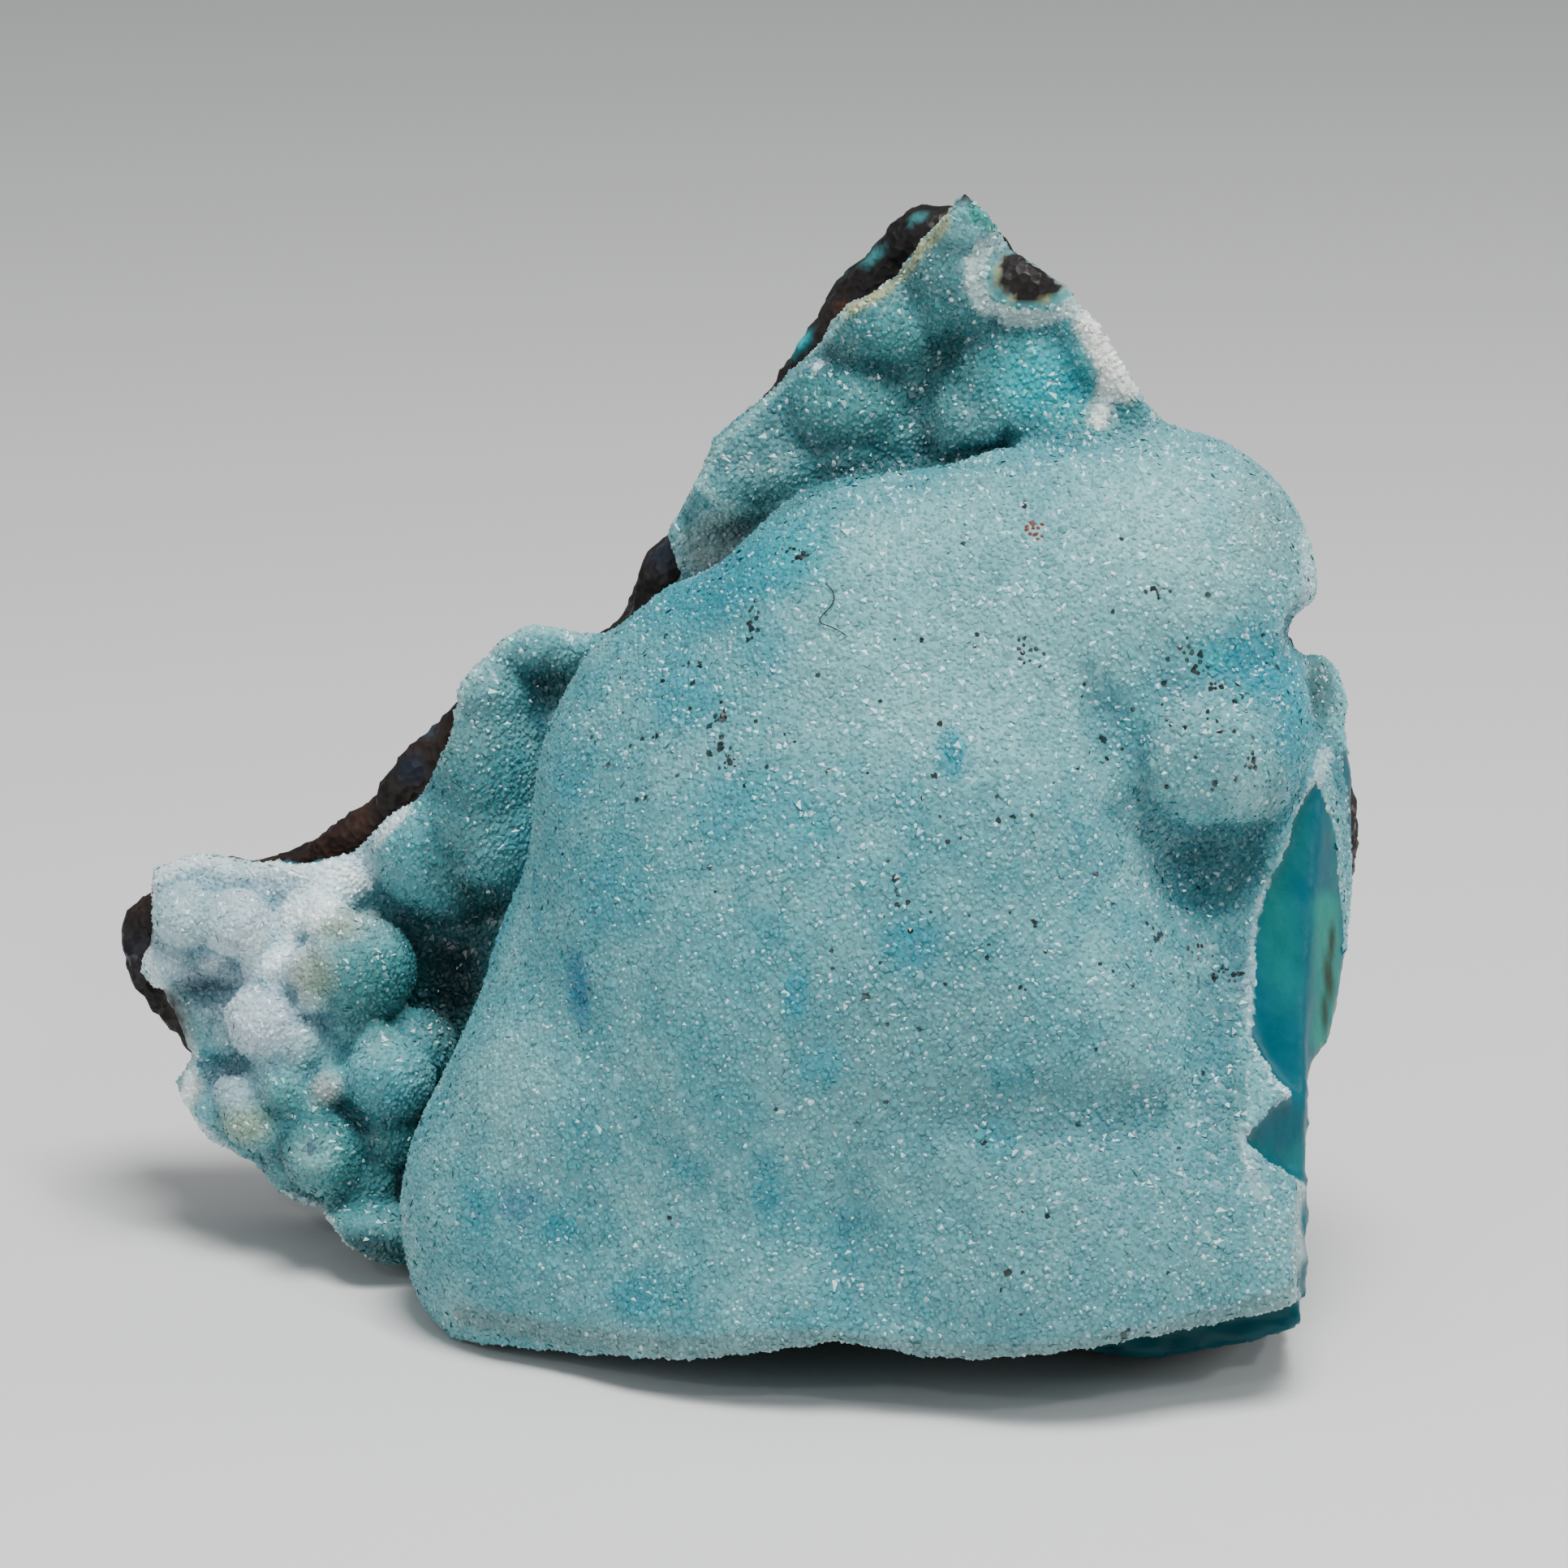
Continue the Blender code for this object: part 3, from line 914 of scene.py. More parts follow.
@dataclass(frozen=True)
class RockFinish:
    """Iron and copper oxide rock, broken: nearly black, with brown dust and small bright crystal faces."""

    name: str = "oxide_rock_broken"
    ior: float = 1.6
    gloss: float = 0.22
    smoothest: float = 0.38
    dullest: float = 0.95
    darkest: float = 0.55
    brightest: float = 1.7
    mottle_size: float = 1.4
    crystal_size: float = 0.35
    pit_depth: float = 0.12

    def make(self) -> bpy.types.Material:
        """Build the material.

        Returns:
            The material.
        """
        material, tree, shader = new_material(self.name)
        tint = add_node(tree, "ShaderNodeAttribute", {"attribute_name": "tint"})
        spot = add_node(tree, "ShaderNodeTexCoord")
        mottle = add_node(tree, "ShaderNodeTexNoise", inputs={
            "Vector": spot.outputs["Object"], "Scale": 1.0 / (self.mottle_size * MM), "Detail": 6.0,
            "Roughness": 0.65})
        crystals = add_node(tree, "ShaderNodeTexVoronoi", {"feature": "F1"}, {
            "Vector": spot.outputs["Object"], "Scale": 1.0 / (self.crystal_size * MM)})
        gain = add_node(tree, "ShaderNodeMapRange", inputs={
            "Value": mottle.outputs["Fac"], "From Min": 0.35, "From Max": 0.7,
            "To Min": self.darkest, "To Max": self.brightest})
        colour = add_node(tree, "ShaderNodeVectorMath", {"operation": "SCALE"}, {
            0: tint.outputs["Color"], "Scale": gain.outputs["Result"]})
        faces = add_node(tree, "ShaderNodeSeparateColor", inputs={"Color": crystals.outputs["Color"]})
        gloss = add_node(tree, "ShaderNodeMapRange", inputs={
            "Value": faces.outputs["Red"], "From Min": 0.0, "From Max": 1.0,
            "To Min": self.smoothest, "To Max": self.dullest})
        height = add_node(tree, "ShaderNodeMath", {"operation": "ADD"}, {
            0: mottle.outputs["Fac"], 1: crystals.outputs["Distance"]})
        bump = add_node(tree, "ShaderNodeBump", inputs={
            "Height": height.outputs["Value"], "Strength": 0.8, "Distance": self.pit_depth * MM})
        tree.links.new(colour.outputs["Vector"], shader.inputs["Base Color"])
        tree.links.new(gloss.outputs["Result"], shader.inputs["Roughness"])
        tree.links.new(bump.outputs["Normal"], shader.inputs["Normal"])
        shader.inputs["IOR"].default_value = self.ior
        shader.inputs["Specular IOR Level"].default_value = self.gloss
        return material


@dataclass(frozen=True)
class FibreFinish:
    """Textile dust: one dark brown fibre, matt."""

    name: str = "dust_fibre_matt"
    shade: Shade = Shade.OXIDE_BROWN
    strand_size: float = 0.15

    def make(self) -> bpy.types.Material:
        """Build the material.

        Returns:
            The material.
        """
        material, tree, shader = new_material(self.name)
        spot = add_node(tree, "ShaderNodeTexCoord")
        strand = add_node(tree, "ShaderNodeTexNoise", inputs={
            "Vector": spot.outputs["Object"], "Scale": 1.0 / (self.strand_size * MM)})
        ramp = add_node(tree, "ShaderNodeMapRange", inputs={
            "Value": strand.outputs["Fac"], "To Min": 0.7, "To Max": 1.4})
        colour = add_node(tree, "ShaderNodeVectorMath", {"operation": "SCALE"}, {
            0: tuple(linear(self.shade)[:3]), "Scale": ramp.outputs["Result"]})
        tree.links.new(colour.outputs["Vector"], shader.inputs["Base Color"])
        shader.inputs["Roughness"].default_value = 0.7
        return material


@dataclass(frozen=True)
class SweepFinish:
    """Painted studio board: pale, matt and plain."""

    name: str = "studio_board_painted"
    shade: tuple[float, float, float, float] = (0.74, 0.74, 0.73, 1.0)

    def make(self) -> bpy.types.Material:
        """Build the material.

        Returns:
            The material.
        """
        material, _, shader = new_material(self.name)
        shader.inputs["Base Color"].default_value = self.shade
        shader.inputs["Roughness"].default_value = 0.8
        return material


def finish_piece(piece: bpy.types.Object, node: str) -> None:
    """Tie a piece to the body, hide the CAD node that it stands for, and report it.

    Args:
        piece: the piece.
        node: the CAD node that it stands for.
    """
    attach(piece, BODY)
    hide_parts(node)
    log.info("%s: %d faces", piece.name, len(piece.data.polygons))


# The specimen

@dataclass
class HostRock:
    """The dark host rock: a slab broken to its outline, with a flat foot and a hackly face."""

    turn: float = math.radians(14.0)
    front: float = 8.5
    thickness: float = 6.2
    coarse_voxel: float = 0.7
    fine_voxel: float = 0.34
    seat_triangles: int = 5000
    roughness: float = 0.55
    coarse_grain: float = 3.4
    fine_grain: float = 1.5
    hackle: float = 0.16
    hackle_grain: float = 0.7
    outline: Outline = (
        (-12.0, -4.0), (20.6, -4.0), (21.2, 4.0), (21.3, 9.5), (22.4, 12.2), (23.4, 14.8), (23.8, 18.0),
        (23.7, 21.8), (22.3, 24.6), (19.4, 29.2), (16.2, 33.6), (13.2, 38.0), (11.0, 39.8), (9.6, 42.2),
        (8.2, 43.2), (6.7, 42.5), (5.5, 41.8), (4.6, 40.8), (3.8, 39.7), (3.0, 38.5), (1.9, 37.7),
        (1.5, 36.3), (0.6, 35.5), (-0.4, 34.4), (-1.4, 33.1), (-2.3, 31.1), (-3.6, 29.9), (-4.2, 28.3),
        (-5.0, 26.9), (-8.8, 26.1), (-10.9, 24.4), (-12.6, 23.0), (-13.5, 21.9), (-14.1, 20.7),
        (-15.3, 19.8), (-16.7, 18.7), (-18.5, 17.9), (-21.0, 17.4), (-23.6, 16.8), (-24.8, 15.7),
        (-24.9, 14.3), (-24.4, 12.6), (-23.5, 10.4), (-21.8, 8.2), (-19.6, 6.4), (-16.8, 4.4),
        (-13.4, 2.4), (-12.4, 0.0))
    fractures: tuple[Fracture, ...] = (
        Fracture((-8.0, 17.2, 20.0), (-0.12, 1.0, 0.25)), Fracture((14.0, 10.5, 26.0), (0.42, 1.0, 0.22)),
        Fracture((12.0, 10.8, 6.0), (0.5, 1.0, -0.32)), Fracture((-14.0, 18.5, 8.0), (-0.3, 0.9, -0.75)),
        Fracture((-25.4, 17.0, 14.0), (-0.8, 0.7, 0.4)), Fracture((3.0, 13.2, 4.0), (0.05, 1.0, -0.5)))
    chips: tuple[Mark, ...] = (
        Mark(2.4, 38.0, 0.75, 0.4, Shade.CHIP, 1.0, 50.0),
        Mark(5.2, 41.2, 0.7, 0.28, Shade.SEA, 0.9, 35.0),
        Mark(6.9, 42.6, 0.5, 0.25, Shade.SEA, 0.6, 20.0),
        Mark(-2.6, 30.4, 1.6, 1.3, Shade.INDIGO, 1.0, 60.0),
        Mark(-13.0, 21.6, 0.9, 0.8, Shade.INDIGO, 0.9),
        Mark(-12.4, 23.2, 0.6, 0.4, Shade.STEEL_BLUE, 0.5),
        Mark(-16.0, 18.6, 2.6, 0.9, Shade.RUST, 0.5, 30.0),
        Mark(-24.4, 14.2, 1.2, 1.0, Shade.INDIGO, 0.6), Mark(4.0, 39.4, 0.4, 0.25, Shade.RUST, 0.8))

    def slab_frame(self) -> Matrix:
        """The slab's own frame, turned away on the left."""
        return FACE.stand() @ Matrix.Rotation(-self.turn, 4, "Z")

    def depth_behind_front(self, places: np.ndarray) -> np.ndarray:
        """How far places lie behind the slab's front plane, in millimetres."""
        inverse = np.array(self.slab_frame().inverted())
        return (places @ inverse[1, :3] + inverse[1, 3]) / MM - self.front

    def build(self) -> bpy.types.Object:
        """Model the rock and give it before its finest roughness, for the crust to sit on.

        Returns:
            The rock.
        """
        back = self.front + self.thickness
        rock = box("host_rock", (-REACH, self.front, -REACH), (REACH, back, REACH), self.slab_frame())
        boolean(rock, prism("rock_outline", self.outline), "INTERSECT")
        for fracture in self.fractures:
            break_off(rock, fracture)
        melt(rock, self.coarse_voxel, 1)
        places = places_of(rock)
        depth = noise_at(places, self.coarse_grain) + 0.5 * noise_at(places, self.fine_grain)
        move_to(rock, places + normals_of(rock) * (self.roughness * MM * depth)[:, None])
        ground = box("ground", (-REACH, -REACH, -REACH), (REACH, REACH, 0.0), FACE.stand())
        boolean(rock, ground, "DIFFERENCE")
        keep_largest(rock)
        return rock

    def seat(self, rock: bpy.types.Object, sink: float) -> bpy.types.Object:
        """Copy the rock, shrunk a little, to cut the crust where the two have grown together.

        Args:
            rock: the host rock.
            sink: how much it is shrunk, in millimetres.

        Returns:
            The seat.
        """
        seat = copy_of(rock, "rock_seat")
        move_to(seat, places_of(seat) - normals_of(seat) * (sink * MM))
        melt(seat, self.coarse_voxel)
        return thin_out(seat, self.seat_triangles)

    def dress(self, rock: bpy.types.Object) -> None:
        """Give the rock its finest roughness, its colours and its finish.

        Args:
            rock: the host rock.
        """
        melt(rock, self.fine_voxel)
        places = places_of(rock)
        foot = smooth_step(places[:, 2] / MM, 0.0, 0.8)
        hackle = np.abs(noise_at(places, self.hackle_grain)) - 0.25
        fine = noise_at(places, self.hackle_grain / 2.4, 5.0)
        push = self.hackle * MM * (hackle * 1.6 + fine * 0.5) * foot
        places = places + normals_of(rock) * push[:, None]
        places[:, 2] = np.maximum(places[:, 2], 0.0)
        move_to(rock, places)
        face_places = FACE.read(places)
        colours = np.tile(linear(Shade.OXIDE_BLACK), (len(places), 1))
        brown = smooth_step(noise_at(places, 5.0, 2.0) + 0.5 * noise_at(places, 1.6, 8.0), -0.2, 0.6)
        colours = blend_to(colours, Shade.OXIDE_BROWN, brown)
        rusty = smooth_step(noise_at(places, 3.0, 30.0), 0.25, 0.6)
        colours = blend_to(colours, Shade.RUST, rusty * 0.5)
        green = smooth_step(noise_at(places, 2.2, 50.0) + 0.6 * noise_at(places, 0.8, 60.0), 0.48, 0.62)
        behind = smooth_step(self.depth_behind_front(places), 1.0, 3.0)
        colours = blend_to(colours, Shade.BREAK_TEAL, green * behind)
        for chip in self.chips:
            colours = blend_to(colours, chip.shade, chip.cover(face_places) * (1.0 - behind))
        paint(rock, "tint", colours)
        rock.data.materials.clear()
        rock.data.materials.append(RockFinish().make())
        rock.data.shade_smooth()
        finish_piece(rock, ROCK_NODE)


@dataclass
class Crust:
    """The botryoidal crust: a boss, a peak, a ledge and a cluster of lumps, broken at its edges."""

    boss_voxel: float = 0.5
    boss_softening: int = 60
    grown_voxel: float = 0.25
    grown_softening: int = 1
    grown_triangles: int = 90000
    skin_voxel: float = 0.27
    plate_front: float = 1.2
    plate_sink: float = 1.0
    seat_sink: float = 0.25
    grown_depth: float = 0.16
    boss: tuple[Lobe, ...] = (
        Lobe(5.6, 15.0, 3.0, 13.2, 16.2, 10.4), Lobe(0.5, 19.4, 1.8, 8.5, 10.1, 7.6),
        Lobe(-1.0, 12.9, -0.8, 8.7, 8.6, 8.8), Lobe(-4.9, 4.4, -1.2, 8.3, 8.6, 8.2),
        Lobe(-2.6, 8.6, -0.4, 8.8, 7.4, 9.4), Lobe(6.0, 2.6, 0.2, 14.8, 13.6, 11.0),
        Lobe(12.2, 2.2, 2.6, 9.3, 9.2, 10.2), Lobe(18.6, 3.6, 2.4, 5.4, 10.6, 8.8),
        Lobe(11.4, 13.4, 3.2, 8.2, 9.4, 9.6), Lobe(9.4, 20.6, 4.0, 8.0, 9.0, 9.4),
        Lobe(6.8, 24.0, 5.2, 9.2, 9.3, 6.8), Lobe(12.0, 26.4, 5.0, 7.8, 8.0, 7.4),
        Lobe(15.9, 28.3, 5.4, 6.3, 6.4, 6.6), Lobe(16.8, 25.0, 5.2, 4.6, 5.2, 6.2),
        Lobe(20.6, 14.0, 3.0, 2.9, 10.5, 5.8), Lobe(20.9, 22.6, 0.8, 3.3, 4.4, 4.2))
    peak: tuple[Lobe, ...] = (
        Lobe(17.1, 23.2, 7.6, 4.6, 4.7, 3.7), Lobe(13.6, 33.8, 4.6, 2.9, 2.6, 3.4),
        Lobe(12.0, 36.8, 4.2, 4.4, 5.2, 2.8), Lobe(13.9, 37.2, 5.4, 1.6, 4.2, 2.6, 30.0),
        Lobe(8.8, 40.4, 5.2, 2.2, 3.0, 2.2), Lobe(8.6, 42.6, 6.2, 1.5, 1.8, 2.0),
        Lobe(11.2, 39.8, 5.6, 2.6, 2.0, 2.0), Lobe(5.9, 38.4, 3.2, 2.7, 2.3, 2.8),
        Lobe(4.6, 35.5, 2.4, 2.9, 2.2, 2.8), Lobe(8.8, 35.0, 3.6, 2.1, 1.7, 2.5),
        Lobe(7.3, 37.2, 2.4, 2.6, 2.6, 2.8), Lobe(6.6, 34.4, 2.0, 2.4, 1.6, 2.8),
        Lobe(2.2, 33.2, 0.9, 2.6, 2.0, 2.9), Lobe(4.6, 33.4, 1.8, 2.2, 1.2, 2.6),
        Lobe(0.9, 34.2, 0.8, 4.0, 2.3, 2.8, 50.0), Lobe(0.0, 32.6, 0.4, 2.4, 1.3, 2.6, 10.0),
        Lobe(-0.8, 30.6, -1.2, 2.6, 2.0, 1.8))
    ledge: tuple[Lobe, ...] = (
        Lobe(-7.0, 26.2, -4.0, 3.2, 1.1, 2.4), Lobe(-9.7, 24.6, -4.6, 1.9, 2.0, 2.8),
        Lobe(-9.8, 22.2, -5.2, 2.4, 4.2, 3.2), Lobe(-9.8, 19.6, -5.6, 2.7, 3.4, 3.0),
        Lobe(-11.6, 18.5, -6.6, 2.9, 2.9, 3.0))
    cluster: tuple[Lobe, ...] = (
        Lobe(-18.2, 10.6, -10.6, 5.2, 9.4, 3.1), Lobe(-20.6, 17.0, -9.0, 3.4, 1.6, 1.9),
        Lobe(-16.5, 12.0, -6.9, 1.2, 1.0, 1.4), Lobe(-15.1, 11.4, -6.4, 1.2, 0.9, 1.4),
        Lobe(-17.9, 13.6, -6.6, 1.0, 1.2, 1.3), Lobe(-17.4, 7.7, -6.3, 0.9, 0.8, 1.2),
        Lobe(-15.4, 8.0, -6.7, 1.4, 1.3, 1.5), Lobe(-17.9, 7.6, -7.4, 1.2, 1.2, 1.3),
        Lobe(-16.2, 10.3, -6.9, 1.5, 1.3, 1.5), Lobe(-16.8, 14.9, -7.6, 1.2, 1.2, 1.3),
        Lobe(-16.6, 17.2, -8.2, 3.6, 1.6, 2.0), Lobe(-16.9, 15.9, -7.2, 1.9, 1.3, 1.4, 40.0),
        Lobe(-21.9, 15.8, -6.4, 1.3, 1.3, 1.7), Lobe(-19.9, 15.5, -6.1, 1.4, 1.35, 1.7),
        Lobe(-22.7, 13.8, -7.1, 0.95, 0.95, 1.1), Lobe(-20.9, 14.6, -7.9, 1.1, 1.0, 1.1),
        Lobe(-18.9, 13.7, -6.9, 0.85, 0.85, 0.9), Lobe(-14.9, 13.7, -5.8, 2.15, 2.1, 2.5),
        Lobe(-16.1, 15.5, -5.2, 0.95, 0.95, 0.95), Lobe(-16.8, 13.7, -5.1, 0.95, 0.95, 0.95),
        Lobe(-16.6, 12.7, -5.0, 0.75, 0.75, 0.75), Lobe(-15.2, 15.2, -4.6, 0.8, 0.8, 0.8),
        Lobe(-15.9, 14.4, -4.4, 0.75, 0.75, 0.75), Lobe(-18.6, 11.4, -6.3, 1.6, 1.55, 1.8),
        Lobe(-19.5, 12.1, -5.9, 0.9, 0.9, 0.9), Lobe(-17.5, 10.8, -5.9, 1.1, 1.1, 1.1),
        Lobe(-18.6, 10.3, -6.1, 0.9, 0.9, 0.9), Lobe(-13.7, 9.5, -4.8, 1.75, 1.75, 2.0),
        Lobe(-12.6, 10.7, -6.2, 1.4, 1.4, 1.6), Lobe(-14.1, 10.6, -4.5, 0.9, 0.9, 0.9),
        Lobe(-16.0, 9.2, -4.9, 0.75, 0.75, 0.75), Lobe(-17.9, 9.05, -5.8, 1.0, 1.0, 1.0),
        Lobe(-16.8, 8.4, -5.4, 0.8, 0.8, 0.8), Lobe(-19.3, 7.65, -6.5, 1.1, 1.1, 1.1),
        Lobe(-18.6, 7.1, -6.1, 0.8, 0.8, 0.8), Lobe(-19.7, 8.8, -6.8, 1.05, 1.05, 1.1),
        Lobe(-20.8, 7.9, -7.9, 0.9, 0.9, 0.9), Lobe(-21.7, 8.8, -8.6, 1.0, 1.0, 1.0),
        Lobe(-16.3, 6.4, -4.9, 1.6, 1.6, 1.7), Lobe(-14.7, 5.5, -5.8, 1.2, 1.2, 1.3),
        Lobe(-15.4, 4.5, -6.2, 0.95, 0.95, 1.0), Lobe(-17.9, 5.8, -6.9, 0.95, 0.95, 1.0),
        Lobe(-13.8, 7.1, -5.6, 1.2, 1.2, 1.4), Lobe(-14.4, 3.2, -5.4, 2.4, 1.3, 2.0))
    scoops: tuple[Lobe, ...] = (
        Lobe(7.0, 33.2, 5.8, 3.9, 0.45, 1.4, 9.0), Lobe(10.3, 34.0, 6.5, 0.5, 0.6, 1.0),
        Lobe(-16.6, 6.8, -3.2, 0.42, 0.42, 0.5))
    flakes: tuple[Flake, ...] = (
        Flake(((22.5, 22.0), (21.2, 20.2), (20.6, 18.4), (19.55, 16.3), (19.1, 13.3), (19.35, 11.4),
            (20.2, 9.9), (21.2, 9.1), (26.0, 9.1), (26.0, 22.0)), 19.1, 13.3, 7.8, -0.5, -0.12),
        Flake(((22.9, 22.4), (21.7, 19.8), (21.3, 16.9), (21.45, 13.9), (21.55, 9.0), (26.0, 9.0),
            (26.0, 22.4)), 21.4, 13.9, 6.7, -1.7),
        Flake(((18.9, 7.75), (20.0, 8.9), (21.2, 9.55), (24.0, 9.6), (24.0, 6.2), (21.0, 6.2),
            (19.8, 6.9)), 19.1, 7.8, 9.5, -0.95, 0.1))
    swells: tuple[Swell, ...] = (
        Swell(17.0, 21.9, 3.5, 3.0, 0.95), Swell(17.9, 15.4, 4.6, 5.2, -0.75),
        Swell(17.6, 18.1, 3.4, 1.9, -0.45), Swell(15.2, 19.9, 1.8, 1.5, -0.45),
        Swell(14.0, 23.0, 3.4, 1.3, -0.5, -64.0), Swell(8.9, 19.1, 4.8, 4.8, 0.45),
        Swell(12.0, 4.5, 7.8, 4.4, 0.6), Swell(11.6, 8.8, 6.8, 1.8, -0.3),
        Swell(18.0, 9.8, 1.3, 4.2, -0.5), Swell(4.6, 3.5, 1.6, 5.0, -0.4),
        Swell(21.6, 26.8, 1.2, 1.3, -1.0), Swell(6.2, 38.1, 1.9, 1.6, 0.1),
        Swell(4.4, 35.4, 2.3, 1.7, 0.1), Swell(7.9, 37.0, 2.2, 0.6, -0.2, 55.0, 7.4),
        Swell(7.2, 34.9, 0.6, 2.0, -0.2, 0.0, 7.0), Swell(5.4, 36.8, 1.8, 0.4, -0.2),
        Swell(-0.2, 30.5, 2.4, 0.8, -0.35, 20.0, 3.4), Swell(0.0, 32.4, 2.4, 0.9, 0.35, 10.0, 5.0),
        Swell(-21.2, 12.7, 1.6, 0.6, -0.5), Swell(-20.3, 9.9, 1.5, 0.5, -0.5),
        Swell(-16.6, 6.8, 0.7, 0.65, -0.35))
    ripple_size: float = 3.6
    ripple_height: float = 0.08
    fine_ripple_size: float = 1.5
    fine_ripple_height: float = 0.04
    side_break: Fracture = Fracture((21.3, -5.0, 16.0), (0.9, -0.4, 0.1))
    outline: Outline = (
        (-11.0, -0.3), (-6.4, -0.5), (-1.7, -0.5), (2.4, 0.1), (3.7, 0.3), (5.2, 0.1), (6.7, -0.2),
        (8.8, -0.3), (11.8, 0.0), (13.3, -0.4), (15.8, -0.7), (19.2, -0.1), (21.3, 0.6), (21.4, 4.7),
        (21.5, 9.3), (21.8, 10.6), (22.5, 11.2), (23.1, 13.8), (23.5, 16.8), (23.5, 21.5), (23.1, 23.0),
        (23.4, 24.0), (23.1, 25.2), (22.3, 26.6), (22.8, 28.7), (22.4, 31.5), (20.5, 34.2), (18.0, 35.2),
        (16.3, 34.4), (15.2, 35.6), (14.5, 36.9), (13.5, 38.4), (12.3, 39.8), (11.3, 40.5), (10.2, 41.3),
        (9.7, 42.1), (8.6, 43.2), (7.8, 42.3), (7.0, 41.4), (6.1, 40.3), (5.0, 39.5), (4.1, 39.1),
        (3.4, 38.1), (2.8, 37.4), (0.7, 35.5), (-0.8, 34.3), (-1.5, 32.6), (-2.7, 30.7), (-2.1, 29.0),
        (-3.5, 27.8), (-4.6, 26.9), (-6.0, 26.8), (-7.9, 27.2), (-8.9, 26.8), (-10.8, 25.0),
        (-11.2, 22.8), (-12.5, 20.4), (-13.5, 19.9), (-15.2, 18.3), (-17.1, 17.8), (-19.8, 17.9),
        (-21.6, 18.2), (-23.3, 17.6), (-23.4, 16.3), (-23.7, 13.6), (-22.6, 11.9), (-21.8, 10.1),
        (-22.4, 8.9), (-21.1, 6.8), (-19.4, 6.0), (-18.0, 4.5), (-16.0, 3.8), (-15.3, 2.9), (-13.9, 2.1),
        (-12.9, 2.1), (-12.2, 0.9))
    skin_lip: Outline = (
        (11.8, 0.0), (14.8, 0.5), (17.9, 1.0), (21.1, 1.7), (24.0, 2.2), (24.0, -6.0), (11.8, -6.0))
    skin_lip_back: float = 6.6

    def grow(self, rock: HostRock) -> bpy.types.Object:
        """Melt the lobes and the plate on the rock into one grown skin, before anything broke.

        Args:
            rock: the host rock's sizes.

        Returns:
            The grown skin.
        """
        boss = balls("boss_lobes", self.boss)
        melt(boss, self.boss_voxel, self.boss_softening)
        plate = box("plate", (-REACH, rock.front - self.plate_front, -REACH),
                    (REACH, rock.front + self.plate_sink, REACH), rock.slab_frame())
        boolean(plate, prism("plate_outline", rock.outline), "INTERSECT")
        grown = balls("grown_crust", self.peak + self.ledge + self.cluster, 3)
        shape = bmesh.new()
        for source in (grown, boss, plate):
            shape.from_mesh(source.data)
        shape.to_mesh(grown.data)
        shape.free()
        discard(boss, plate)
        melt(grown, self.grown_voxel, self.grown_softening)
        places = places_of(grown)
        face_places = FACE.read(places)
        ripple = (self.ripple_height * noise_at(places, self.ripple_size, 3.0)
                  + self.fine_ripple_height * noise_at(places, self.fine_ripple_size, 9.0))
        ripple *= 1.0 + FACE.on_peak(face_places)
        push = ripple + sum(swell.push(face_places) for swell in self.swells)
        move_to(grown, places + normals_of(grown) * (push * MM)[:, None])
        return grown

    def break_edges(self, grown: bpy.types.Object, rock_seat: bpy.types.Object) -> bpy.types.Object:
        """Break a copy of the grown skin to its outlines and scoops, and seat it on the rock.

        Args:
            grown: the grown skin.
            rock_seat: the seat to cut, which is removed.

        Returns:
            The broken crust.
        """
        crust = copy_of(grown, "crust_body")
        thin_out(crust, self.grown_triangles)
        boolean(crust, prism("crust_outline", self.outline), "INTERSECT")
        boolean(crust, prism("skin_lip", self.skin_lip, self.skin_lip_back), "DIFFERENCE")
        break_off(crust, self.side_break)
        for scoop in self.scoops:
            boolean(crust, balls("scoop", (scoop,)), "DIFFERENCE")
        for flake in self.flakes:
            boolean(crust, flake_cutter(flake), "DIFFERENCE")
        ground = box("ground", (-REACH, -REACH, -REACH), (REACH, REACH, 0.0), FACE.stand())
        boolean(crust, ground, "DIFFERENCE")
        boolean(crust, rock_seat, "DIFFERENCE")
        melt(crust, self.skin_voxel)
        keep_largest(crust)
        return crust


